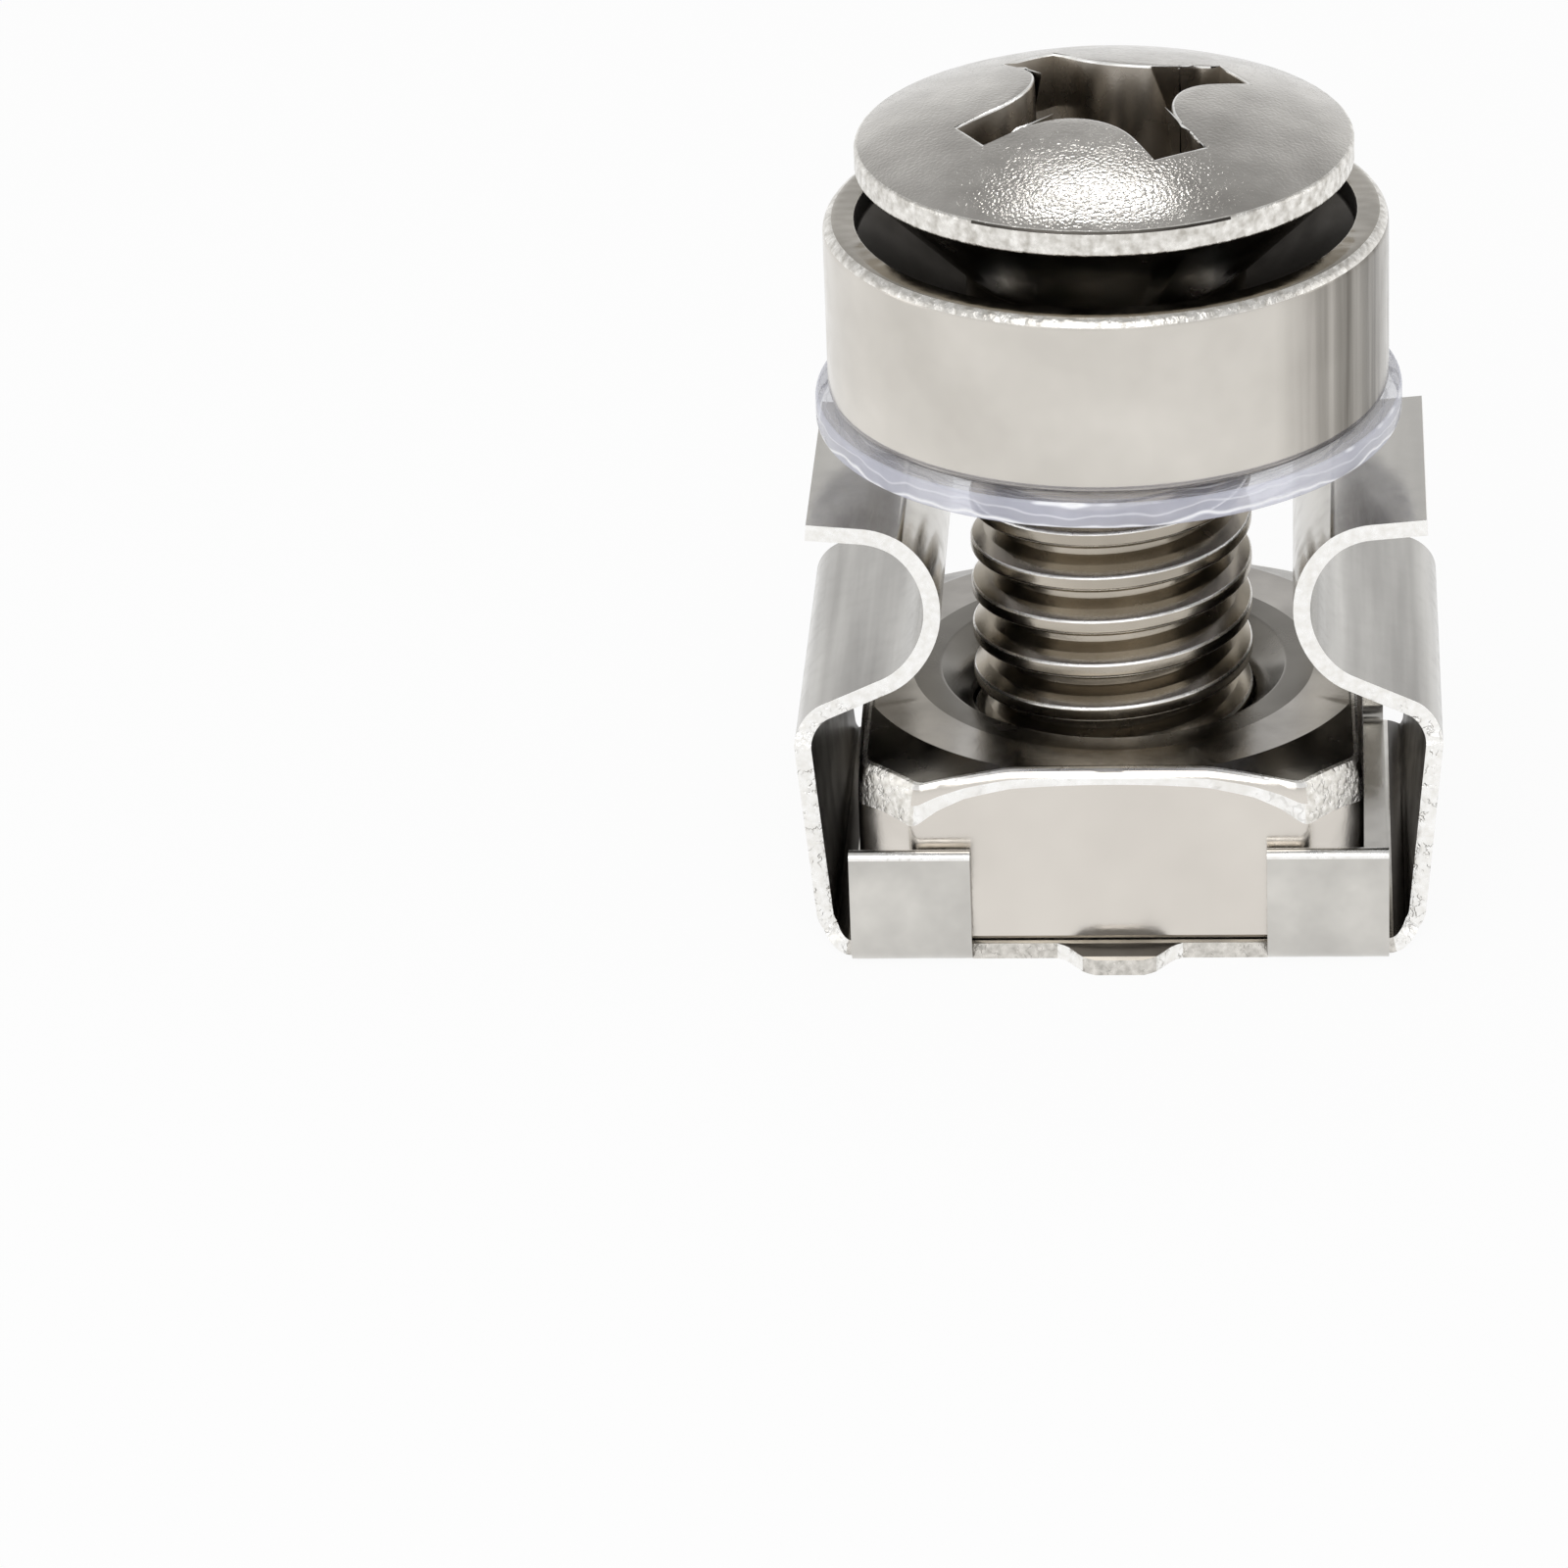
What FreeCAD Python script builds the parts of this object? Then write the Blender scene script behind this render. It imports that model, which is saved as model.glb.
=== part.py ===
import FreeCAD, Part
import math
import os

# Rack cage nut, size M6: a square nut held loosely in a folded spring cage,
# with its raised countersunk cross-recess screw, a deep metal cup washer
# and a thin clear plastic retaining washer on the screw's thread.
#
# Millimetres. The origin is under the middle of the cage, +Z is the screw's
# axis, X runs across the two sprung wings and Y across the upright tabs.

# Folded spring cage: the sheet and the strip that makes base and wings
sheet_t = 0.35
wall_foot_x = 6.284
wall_lean_deg = 5.4
shoulder_height = 5.02
slant_deg = 22.0
groove_x = 3.98
groove_top_z = 8.42
lip_rise_deg = 5.0
lip_reach_x = 6.40
foot_bend_r = 0.75
shoulder_bend_r = 0.90
groove_bend_r = 1.40

# Outline of the strip as seen along X: half widths at their heights
foot_flare_half = 5.11
foot_half = 4.55
foot_half_z = 0.70
shoulder_half = 4.28
shoulder_half_z = 4.30
lip_half = 3.15
lip_half_z = 8.30
outline_r = 0.80

# Base plate between the wings, with the carrier nib on both free edges
plate_half_y = 5.28
nib_root_half = 1.18
nib_tip_half = 0.64
nib_reach = 0.76
nib_corner_r = 0.22
base_hole_clearance = 0.55

# Four upright tabs that keep the nut between them
tab_inner_x = 3.06
tab_outer_x = 5.57
tab_height = 2.65
tab_bend_r = 0.60
tab_top_bevel = 0.13
tab_clearance = 0.10

# Square nut
nut_side = 10.50
nut_height = 3.95
nut_corner = 1.19
nut_crown_r = 5.37
nut_crown_deg = 30.0
nut_bottom_edge = 0.15
nut_mouth_r = 3.65
nut_mouth_deg = 45.0
nut_shift_x = -0.18
nut_seat_gap = 0.02

# Screw
thread_r = 2.95
thread_pitch = 1.00
thread_depth = 0.55
thread_crest_flat = 0.26
thread_mid_half = 0.31
thread_root_flat = 0.14
thread_into_washer = 0.30
neck_step = 0.06
thread_turn_deg = 171.0
thread_clearance = 0.05
screw_length = 16.0
tip_chamfer = 0.55
tip_z = 0.22
head_r = 5.12
head_rim = 0.49
head_rim_edge = 0.10
dome_rise = 1.10
recess_reach = 3.12
recess_wing_w = 1.16
recess_depth = 2.90
recess_wing_depth = 1.55
recess_core_r = 1.42
recess_core_floor_r = 0.95
recess_point_depth = 0.75
recess_turn_deg = 31.0
recess_floor_r = 1.55

# Clear washer that grips the thread, and the metal cup washer on top of it
clear_z = 10.20
clear_t = 0.56
clear_r = 6.10
clear_grip_gap = 0.03
cup_height = 3.88
cup_r = 5.82
cup_edge_r = 0.30
cup_wall = 0.66
cup_hole_clearance = 0.25
cup_flush_drop = 0.52

# Values that follow from the ones above
tab_face_y = nut_side / 2 + tab_clearance + sheet_t
cup_z = clear_z + clear_t
cup_top_z = cup_z + cup_height
rim_top_z = tip_z + screw_length
rim_low_z = rim_top_z - head_rim
base_hole_r = thread_r + base_hole_clearance
nut_bore_r = thread_r + thread_clearance
nut_z = sheet_t + nut_seat_gap
screw_x = nut_shift_x
thread_top_z = clear_z + thread_into_washer


def vec(x, y, z=0.0):
    return FreeCAD.Vector(x, y, z)


def direction(a, b):
    d = b - a
    d.normalize()
    return d


def left_of(d):
    """The unit vector to the left of a heading in the drawing plane."""
    return vec(-d.y, d.x)


def offset_corners(corners, distance):
    """Mitred corners of a path set over to its left by a distance."""
    headings = [direction(a, b) for a, b in zip(corners, corners[1:])]
    moved = [corners[0] + left_of(headings[0]) * distance]
    for corner, before, after in zip(corners[1:-1], headings, headings[1:]):
        mitre = left_of(before) + left_of(after)
        mitre.normalize()
        reach = distance / mitre.dot(left_of(before))
        moved.append(corner + mitre * reach)
    moved.append(corners[-1] + left_of(headings[-1]) * distance)
    return moved


def turn_of(corners, i):
    """Signed turn at a corner, positive to the left."""
    a = direction(corners[i - 1], corners[i])
    b = direction(corners[i], corners[i + 1])
    return math.atan2(a.x * b.y - a.y * b.x, a.dot(b))


def rounded_edges(corners, radii):
    """Straight runs joined by tangent arcs, one radius per inner corner."""
    edges = []
    start = corners[0]
    for i in range(1, len(corners) - 1):
        into = direction(corners[i - 1], corners[i])
        out = direction(corners[i], corners[i + 1])
        half_turn = abs(turn_of(corners, i)) / 2
        cut = radii[i - 1] * math.tan(half_turn)
        first = corners[i] - into * cut
        last = corners[i] + out * cut
        bisector = direction(corners[i], (first + last) * 0.5)
        sagitta = radii[i - 1] / math.cos(half_turn) - radii[i - 1]
        middle = corners[i] + bisector * sagitta
        edges.append(Part.makeLine(start, first))
        edges.append(Part.Arc(first, middle, last).toShape())
        start = last
    edges.append(Part.makeLine(start, corners[-1]))
    return edges


def bent_sheet(corners, radii):
    """Face of a bent sheet: the path is its outer side, the metal lies left."""
    inner_corners = offset_corners(corners, sheet_t)
    inner_radii = []
    for i, radius in enumerate(radii, start=1):
        grows = -1.0 if turn_of(corners, i) > 0 else 1.0
        inner_radii.append(radius + grows * sheet_t)
    outer = rounded_edges(corners, radii)
    inner = rounded_edges(inner_corners, inner_radii)
    caps = [
        Part.makeLine(corners[0], inner_corners[0]),
        Part.makeLine(corners[-1], inner_corners[-1]),
    ]
    wire = Part.Wire(Part.__sortEdges__(outer + inner + caps))
    return Part.Face(wire)


def drawn_upright_x(face):
    """Lay a drawing of (x, z) into the XZ plane, its depth along +Y."""
    face.rotate(vec(0, 0, 0), vec(1, 0, 0), 90)
    return face


def drawn_upright_y(face):
    """Lay a drawing of (y, z) into the YZ plane, its depth along +X."""
    face.rotate(vec(0, 0, 0), vec(1, 0, 0), 90)
    face.rotate(vec(0, 0, 0), vec(0, 0, 1), 90)
    return face


def mirrored(shape, normal):
    return shape.mirror(vec(0, 0, 0), normal)


def turned(points, x=0.0):
    """Solid of revolution about the vertical axis at x, from (r, z) points."""
    outline = [vec(r, 0, z) for r, z in points]
    face = Part.Face(Part.makePolygon(outline + [outline[0]]))
    solid = face.revolve(vec(0, 0, 0), vec(0, 0, 1), 360)
    solid.translate(vec(x, 0, 0))
    return solid


def wing_corners():
    """Outer side of the right half of the strip, from the foot to the lip."""
    lean = math.tan(math.radians(wall_lean_deg))
    slant = math.tan(math.radians(slant_deg))
    rise = math.tan(math.radians(lip_rise_deg))
    shoulder_x = wall_foot_x + shoulder_height * lean
    groove_low_z = shoulder_height + (shoulder_x - groove_x) * slant
    lip_z = groove_top_z + (lip_reach_x - groove_x) * rise
    return [
        vec(wall_foot_x, 0),
        vec(shoulder_x, shoulder_height),
        vec(groove_x, groove_low_z),
        vec(groove_x, groove_top_z),
        vec(lip_reach_x, lip_z),
    ]


def make_strip():
    """Base and both wings: one bent strip, tapered towards its lips."""
    right = wing_corners()
    left = [vec(-p.x, p.y) for p in reversed(right)]
    radii = [foot_bend_r, shoulder_bend_r, groove_bend_r, groove_bend_r]
    face = bent_sheet(left + right, radii[::-1] + radii)
    widest = max(foot_flare_half, foot_half, shoulder_half) + 1.0
    strip = drawn_upright_x(face).extrude(vec(0, 2 * widest, 0))
    strip.translate(vec(0, -widest, 0))

    top = right[-1].y + sheet_t + 1.0
    side = [
        vec(foot_flare_half, -1.0),
        vec(foot_flare_half - 0.12, 0.06),
        vec(foot_half, foot_half_z * 0.45),
        vec(shoulder_half, shoulder_half_z),
        vec(lip_half, lip_half_z),
        vec(lip_half, top),
    ]
    back = [vec(-p.x, p.y) for p in reversed(side)]
    bends = [0.0, 0.10, 0.25, outline_r, outline_r, 0.0]
    outline = rounded_outline(side + back, bends + bends[::-1])
    reach = lip_reach_x + shoulder_bend_r + 1.0
    blank = drawn_upright_y(outline).extrude(vec(2 * reach, 0, 0))
    blank.translate(vec(-reach, 0, 0))
    return strip.common(blank)


def rounded_outline(corners, radii):
    """Closed face whose corners are rounded only where a radius is given."""
    count = len(corners)
    edges = []
    ends = []
    for i in range(count):
        before = corners[i - 1]
        here = corners[i]
        after = corners[(i + 1) % count]
        into = direction(before, here)
        out = direction(here, after)
        cosine = max(-1.0, min(1.0, into.dot(out)))
        half_turn = math.acos(cosine) / 2
        if radii[i] <= 0 or half_turn < 1e-6:
            ends.append((here, here))
            continue
        cut = radii[i] * math.tan(half_turn)
        first = here - into * cut
        last = here + out * cut
        bisector = direction(here, (first + last) * 0.5)
        middle = here + bisector * (radii[i] / math.cos(half_turn) - radii[i])
        edges.append(Part.Arc(first, middle, last).toShape())
        ends.append((first, last))
    for i in range(count):
        start = ends[i][1]
        stop = ends[(i + 1) % count][0]
        if start.distanceToPoint(stop) > 1e-7:
            edges.append(Part.makeLine(start, stop))
    return Part.Face(Part.Wire(Part.__sortEdges__(edges)))


def make_plate():
    """Flat base between the tabs, with a tapered nib on each free edge."""
    nib_y = plate_half_y + nib_reach
    half = [
        vec(tab_inner_x, plate_half_y),
        vec(nib_root_half, plate_half_y),
        vec(nib_tip_half, nib_y),
        vec(-nib_tip_half, nib_y),
        vec(-nib_root_half, plate_half_y),
        vec(-tab_inner_x, plate_half_y),
    ]
    other = [vec(-p.x, -p.y) for p in half]
    soft = [0.0, nib_corner_r, nib_corner_r, nib_corner_r, nib_corner_r, 0.0]
    face = rounded_outline(half + other, soft + soft)
    return face.extrude(vec(0, 0, sheet_t))


def make_tab():
    """One tab: bent up from the base, its outer top edge bevelled."""
    path = [
        vec(foot_half - 1.0, 0),
        vec(tab_face_y, 0),
        vec(tab_face_y, tab_height),
    ]
    face = bent_sheet(path, [tab_bend_r])
    tab = drawn_upright_y(face).extrude(vec(tab_outer_x - tab_inner_x, 0, 0))
    tab.translate(vec(tab_inner_x, 0, 0))
    rim = []
    for edge in tab.Edges:
        box = edge.BoundBox
        at_top = box.ZMin > tab_height - 1e-4
        at_face = box.YMin > tab_face_y - 1e-4
        if at_top and at_face:
            rim.append(edge)
    return tab.makeChamfer(tab_top_bevel, rim)


def make_cage():
    tab = make_tab()
    across = mirrored(tab, vec(1, 0, 0))
    tabs = [
        tab,
        across,
        mirrored(tab, vec(0, 1, 0)),
        mirrored(across, vec(0, 1, 0)),
    ]
    cage = make_strip().multiFuse([make_plate()] + tabs)
    hole = Part.makeCylinder(base_hole_r, sheet_t + 2, vec(screw_x, 0, -1))
    return cage.cut(hole).removeSplitter()


def make_nut():
    """Square nut with bevelled corners, a conical crown and a wide mouth."""
    half = nut_side / 2
    low = half - nut_corner
    corners = [
        vec(half, -low),
        vec(half, low),
        vec(low, half),
        vec(-low, half),
        vec(-half, low),
        vec(-half, -low),
        vec(-low, -half),
        vec(low, -half),
    ]
    face = Part.Face(Part.makePolygon(corners + [corners[0]]))
    block = face.extrude(vec(0, 0, nut_height))

    far = half * 1.6
    drop = (far - nut_crown_r) * math.tan(math.radians(nut_crown_deg))
    lift = nut_bottom_edge
    foot_r = math.hypot(half, low) - lift * 1.5
    crown = turned([
        (0, 0),
        (foot_r, 0),
        (foot_r + far, far * 0.55),
        (far * 1.2, nut_height - drop * 1.2),
        (nut_crown_r, nut_height),
        (0, nut_height),
    ])
    bore = Part.makeCylinder(nut_bore_r, nut_height + 2, vec(0, 0, -1))
    spread = math.tan(math.radians(nut_mouth_deg))
    mouth_depth = (nut_mouth_r - nut_bore_r) / spread
    over = 0.2
    mouth = Part.makeCone(
        nut_bore_r,
        nut_mouth_r + over * spread,
        mouth_depth + over,
        vec(0, 0, nut_height - mouth_depth),
    )
    entry_depth = 0.35
    entry = Part.makeCone(
        nut_bore_r + entry_depth + over,
        nut_bore_r,
        entry_depth + over,
        vec(0, 0, -over),
    )
    nut = block.common(crown).cut(bore).cut(mouth).cut(entry)
    nut.translate(vec(nut_shift_x, 0, nut_z))
    return nut.removeSplitter()


def dome_radius():
    return (head_r ** 2 + dome_rise ** 2) / (2 * dome_rise)


def make_recess():
    """Cross recess: a conical core with four wings that slope inwards."""
    top = rim_top_z + dome_rise + 0.5
    floor = rim_top_z + dome_rise - recess_depth
    core = turned([
        (0, floor - recess_point_depth),
        (recess_core_floor_r, floor),
        (recess_core_r, top),
        (0, top),
    ])
    outer_floor = rim_top_z + dome_rise - recess_wing_depth
    outline = [
        vec(0, 0, top),
        vec(recess_reach, 0, top),
        vec(recess_reach - 0.12, 0, outer_floor),
        vec(recess_floor_r, 0, floor + 0.35),
        vec(0, 0, floor),
    ]
    side = Part.Face(Part.makePolygon(outline + [outline[0]]))
    side.translate(vec(0, -recess_wing_w / 2, 0))
    wing = side.extrude(vec(0, recess_wing_w, 0))
    wings = []
    for quarter in range(4):
        copy = wing.copy()
        copy.rotate(vec(0, 0, 0), vec(0, 0, 1), 90 * quarter)
        wings.append(copy)
    recess = core.multiFuse(wings)
    recess.rotate(vec(0, 0, 0), vec(0, 0, 1), recess_turn_deg)
    return recess


def helix(radius, z, turns):
    """Right-hand helix as a curve whose parameter counts its points."""
    per_turn = 10
    count = int(round(per_turn * turns)) + 1
    points = []
    for i in range(count):
        angle = 2 * math.pi * i / per_turn
        rise = thread_pitch * i / per_turn
        points.append(vec(radius * math.cos(angle), radius * math.sin(angle), z + rise))
    curve = Part.BSplineCurve()
    curve.interpolate(Points=points, Parameters=[float(i) for i in range(count)])
    return curve


def helical_face(one, other):
    """Ruled face between two helices with the same number of points."""
    surface = Part.BSplineSurface()
    surface.buildFromPolesMultsKnots(
        [one.getPoles(), other.getPoles()],
        [2, 2],
        one.getMultiplicities(),
        [0.0, 1.0],
        one.getKnots(),
        False,
        False,
        1,
        one.Degree,
    )
    return surface.toShape()


def make_ridge():
    """The thread's ridge: its section carried up a right-hand helix."""
    root_r = thread_r - thread_depth
    mid_r = thread_r - thread_depth / 2
    root_half = (thread_pitch - thread_root_flat) / 2
    sink = 0.05
    sunk_half = root_half + sink * (root_half - thread_mid_half) / (mid_r - root_r)
    half = [
        (root_r - sink, sunk_half),
        (mid_r, thread_mid_half),
        (thread_r, thread_crest_flat / 2),
    ]
    start = tip_z - thread_pitch
    turns = math.ceil((thread_top_z - tip_z) / thread_pitch) + 2
    section = [(radius, start - width) for radius, width in half]
    section += [(radius, start + width) for radius, width in reversed(half)]
    curves = [helix(radius, z, turns) for radius, z in section]
    faces = []
    for one, other in zip(curves, curves[1:] + curves[:1]):
        faces.append(helical_face(one, other))
    for lift in (0, thread_pitch * turns):
        outline = [vec(radius, 0, z + lift) for radius, z in section]
        faces.append(Part.Face(Part.makePolygon(outline + [outline[0]])))
    shell = Part.Shell(faces)
    shell.sewShape()
    ridge = Part.Solid(shell)
    if ridge.Volume < 0:
        ridge.reverse()
    ridge.rotate(vec(0, 0, 0), vec(0, 0, 1), thread_turn_deg)
    return ridge


def make_shank():
    """Threaded shank with a chamfered tip, up into the clear washer."""
    wide = thread_r + 0.3
    space = turned([
        (0, tip_z),
        (thread_r - tip_chamfer, tip_z),
        (wide, tip_z + tip_chamfer + wide - thread_r),
        (wide, thread_top_z),
        (0, thread_top_z),
    ])
    length = thread_top_z - tip_z
    core = Part.makeCylinder(thread_r - thread_depth, length, vec(0, 0, tip_z))
    return core.common(space).fuse(make_ridge().common(space))


def make_head():
    """Raised countersunk head and its short plain neck, before the recess."""
    neck_r = thread_r - neck_step
    cone_low = rim_low_z - (head_r - neck_r)
    ball = dome_radius()
    edge_r = head_r - head_rim_edge
    centre_z = rim_top_z + dome_rise - ball
    half_angle = math.asin(edge_r / ball) / 2
    mid = vec(ball * math.sin(half_angle), 0, centre_z + ball * math.cos(half_angle))
    low = [
        vec(0, 0, thread_top_z),
        vec(neck_r, 0, thread_top_z),
        vec(neck_r, 0, cone_low),
        vec(head_r, 0, rim_low_z),
        vec(head_r, 0, rim_top_z - head_rim_edge),
        vec(edge_r, 0, centre_z + math.sqrt(ball ** 2 - edge_r ** 2)),
    ]
    apex = vec(0, 0, rim_top_z + dome_rise)
    edges = [Part.makeLine(a, b) for a, b in zip(low, low[1:])]
    edges.append(Part.Arc(low[-1], mid, apex).toShape())
    edges.append(Part.makeLine(apex, low[0]))
    face = Part.Face(Part.Wire(edges))
    return face.revolve(vec(0, 0, 0), vec(0, 0, 1), 360)


def make_screw():
    screw = make_head().cut(make_recess()).fuse(make_shank())
    screw.translate(vec(screw_x, 0, 0))
    return screw


def make_cup():
    """Deep cup: outside plain, inside a countersunk seat for the head."""
    mouth_r = cup_r - cup_wall
    hole_r = thread_r + cup_hole_clearance
    seat_top = cup_top_z - cup_flush_drop
    seat_low = seat_top - (mouth_r - hole_r)
    edge_cut = cup_edge_r * (1 - math.sqrt(0.5))
    return turned([
        (hole_r, cup_z),
        (cup_r - cup_edge_r, cup_z),
        (cup_r, cup_z + cup_edge_r),
        (cup_r, cup_top_z - cup_edge_r),
        (cup_r - edge_cut, cup_top_z - edge_cut),
        (cup_r - cup_edge_r, cup_top_z),
        (mouth_r, cup_top_z),
        (mouth_r, seat_top),
        (hole_r, seat_low),
    ], screw_x)


def make_clear_washer():
    """Thin clear disc whose hole closes on the crests of the thread."""
    hole_r = thread_r + clear_grip_gap
    top = clear_z + clear_t
    return turned([
        (hole_r, clear_z),
        (clear_r, clear_z),
        (clear_r, top),
        (hole_r, top),
    ], screw_x)


nodes = {
    "cage": make_cage(),
    "square_nut": make_nut(),
    "screw": make_screw(),
    "cup_washer": make_cup(),
    "clear_washer": make_clear_washer(),
}

os.makedirs("parts", exist_ok=True)
for name, shape in nodes.items():
    solid = shape.Solids[0] if len(shape.Solids) == 1 else shape
    solid.exportStep(os.path.join("parts", name + ".step"))
    box = solid.optimalBoundingBox()
    print(
        name,
        "solids", len(shape.Solids),
        "valid", solid.isValid(),
        "volume", round(solid.Volume, 3),
        "x", round(box.XMin, 3), round(box.XMax, 3),
        "y", round(box.YMin, 3), round(box.YMax, 3),
        "z", round(box.ZMin, 3), round(box.ZMax, 3),
    )
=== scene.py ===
"""Rack cage nut with its screw, cup washer and clear washer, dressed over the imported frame.

Lengths are in millimetres while a piece is on the bench; `Blank.piece` scales it to metres.
"""

import logging
import math
from dataclasses import dataclass
from enum import Enum, IntEnum
from typing import Callable, Iterable, Optional, Sequence, Union

import bmesh
import bpy
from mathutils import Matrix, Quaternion, Vector


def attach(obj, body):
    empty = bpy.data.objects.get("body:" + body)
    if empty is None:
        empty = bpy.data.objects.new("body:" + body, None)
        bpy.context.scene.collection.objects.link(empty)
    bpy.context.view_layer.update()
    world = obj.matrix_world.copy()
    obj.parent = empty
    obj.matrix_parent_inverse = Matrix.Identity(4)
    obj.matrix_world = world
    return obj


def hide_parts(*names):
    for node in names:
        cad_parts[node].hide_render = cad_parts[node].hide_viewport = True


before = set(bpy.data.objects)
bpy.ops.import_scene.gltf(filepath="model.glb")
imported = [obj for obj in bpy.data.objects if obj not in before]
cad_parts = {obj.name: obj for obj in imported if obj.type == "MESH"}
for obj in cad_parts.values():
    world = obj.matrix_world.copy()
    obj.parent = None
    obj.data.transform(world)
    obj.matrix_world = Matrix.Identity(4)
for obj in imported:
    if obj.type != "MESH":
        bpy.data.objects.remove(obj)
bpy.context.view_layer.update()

log = logging.getLogger("rack_cage_nut")

MM = 0.001
TURN = 2 * math.pi
QUARTER = math.pi / 2
# The upright axis of the screw, nut, washers and base hole stands left of the cage's middle.
AXIS_X = -0.18
# How near two places are when they count as one, from coarse to exact.
COARSE, NEAR, FINE, LEVEL = 1e-3, 1e-4, 1e-5, 1e-6
# The flats of a small rounding, and those round a washer.
ROUNDING_FLATS = 4
WASHER_FLATS = 144
# Higher than anything here, for an edge that is rough all the way up.
ABOVE_ALL_MM = 99.0

Colour = tuple[float, float, float]
Point = tuple[float, float]
Spot = tuple[float, float, float]
Key = Union[str, int]
Inputs = dict[Key, object]
Edge = bmesh.types.BMEdge
Vert = bmesh.types.BMVert
Face = bmesh.types.BMFace
Material = bpy.types.Material
Piece = bpy.types.Object
Move = Callable[[Vector], Vector]
Test = Callable[[Vector], bool]


class Body(Enum):
    """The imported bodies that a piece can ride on."""

    ROOT = "root"
    WASHERS = "washers"
    SCREW = "screw"


class ScrewSlot(IntEnum):
    """The screw's material slots."""

    PLATE = 0
    # RECESS: painted shade inside the cross recess.
    RECESS = 1
    # SHANK: a darker plate, painted shade on the thread, neck and countersink.
    SHANK = 2
    # CREST: painted highlight lines on the crests, and the recess edge's wear with a painted
    # highlight.
    CREST = 3
    # RIM: the worn rim, its lumps partly painted highlights and reflections.
    RIM = 4
    # SHADE: a painted dark reflection line between dome and rim at the front.
    SHADE = 5


class Blank:
    """A piece of stock on the bench: a bmesh in millimetres and the few operations it takes."""

    def __init__(self) -> None:
        """Starts with nothing on the bench."""
        self.bm = bmesh.new()

    def line(self, points: Iterable[Spot], closed: bool = False) -> list[Edge]:
        """Lays out a chain of edges.

        Args:
            points: the chain's points in order.
            closed: whether the last point joins the first.

        Returns:
            The edges in order.
        """
        verts = [self.bm.verts.new(p) for p in points]
        pairs = list(zip(verts, verts[1:]))
        if closed:
            pairs.append((verts[-1], verts[0]))
        return [self.bm.edges.new(pair) for pair in pairs]

    def drawn_out(
        self, edges: Sequence[Edge], move: Move, slot: Optional[int] = None
    ) -> list[Edge]:
        """Extrudes edges and moves the new row of points.

        Args:
            edges: the edges to draw out.
            move: gives a new point's place from the place it was drawn from.
            slot: the new faces' material slot, where it isn't their neighbours'.

        Returns:
            The edges of the new row.
        """
        before = len(self.bm.faces)
        made = bmesh.ops.extrude_edge_only(self.bm, edges=list(edges))["geom"]
        for vert in made:
            if isinstance(vert, Vert):
                vert.co = move(vert.co.copy())
        if slot is not None:
            self.finished(slot, before)
        return [e for e in made if isinstance(e, Edge)]

    def eased(
        self, geom: Sequence[Union[Edge, Vert]], offset: float, flats: int, affect: str = "EDGES"
    ) -> list[Face]:
        """Rounds edges, or the corners of a drawn line.

        Args:
            geom: the edges or vertices.
            offset: how far the rounding starts from them.
            flats: the number of flats it is made of.
            affect: EDGES or VERTICES, as the bevel operator names them.

        Returns:
            The faces of the rounding.
        """
        made = bmesh.ops.bevel(
            self.bm,
            geom=list(geom),
            offset=offset,
            offset_type="OFFSET",
            segments=flats,
            profile=0.5,
            affect=affect,
            material=-1,
            clamp_overlap=False,
        )
        return made["faces"]

    def cut_level(self, z: float, side: int = 1, clear: bool = False) -> list[Edge]:
        """Cuts everything on the bench at a height.

        Args:
            z: the height.
            side: 1 for the upper side of the cut, -1 for the lower.
            clear: whether what lies on that side goes.

        Returns:
            The edges of the cut.
        """
        cut = bmesh.ops.bisect_plane(
            self.bm,
            geom=self.bm.verts[:] + self.bm.edges[:] + self.bm.faces[:],
            dist=FINE,
            plane_co=(0, 0, z),
            plane_no=(0, 0, side),
            clear_outer=clear,
        )
        return [e for e in cut["geom_cut"] if isinstance(e, Edge)]

    def turned(self) -> None:
        """Moves a half section to the axis and turns it a full turn there."""
        self.moved(AXIS_X)
        bmesh.ops.spin(
            self.bm,
            geom=self.bm.verts[:] + self.bm.edges[:],
            cent=(AXIS_X, 0, 0),
            axis=(0, 0, 1),
            dvec=(0, 0, 0),
            angle=TURN,
            steps=WASHER_FLATS,
            use_merge=True,
        )
        self.cleaned()

    def moved(self, x: float, z: float = 0.0) -> None:
        """Moves everything on the bench across and up."""
        bmesh.ops.translate(self.bm, verts=self.bm.verts[:], vec=(x, 0, z))

    def finished(self, slot: int, first_face: int = 0, within: Optional[Test] = None) -> None:
        """Gives faces another material slot.

        Args:
            slot: the slot.
            first_face: the count of faces before the first one that is changed.
            within: a test on a face's middle, where only some of them change.
        """
        self.bm.faces.ensure_lookup_table()
        for face in self.bm.faces[first_face:]:
            if within is None or within(face.calc_center_median()):
                face.material_index = slot

    def where(self, test: Test) -> list[Edge]:
        """The edges whose two ends both pass a test."""
        return [e for e in self.bm.edges if all(test(v.co) for v in e.verts)]

    def joined(self, distance: float) -> None:
        """Makes one point of those nearer to each other than a distance."""
        bmesh.ops.remove_doubles(self.bm, verts=self.bm.verts[:], dist=distance)

    def faced_out(self) -> None:
        """Turns every face outwards."""
        bmesh.ops.recalc_face_normals(self.bm, faces=self.bm.faces[:])

    def cleaned(self, distance: float = NEAR) -> None:
        """Joins doubled points, drops faces with no area and turns every face outwards."""
        self.joined(distance)
        bmesh.ops.dissolve_degenerate(self.bm, edges=self.bm.edges[:], dist=distance)
        self.faced_out()

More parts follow.
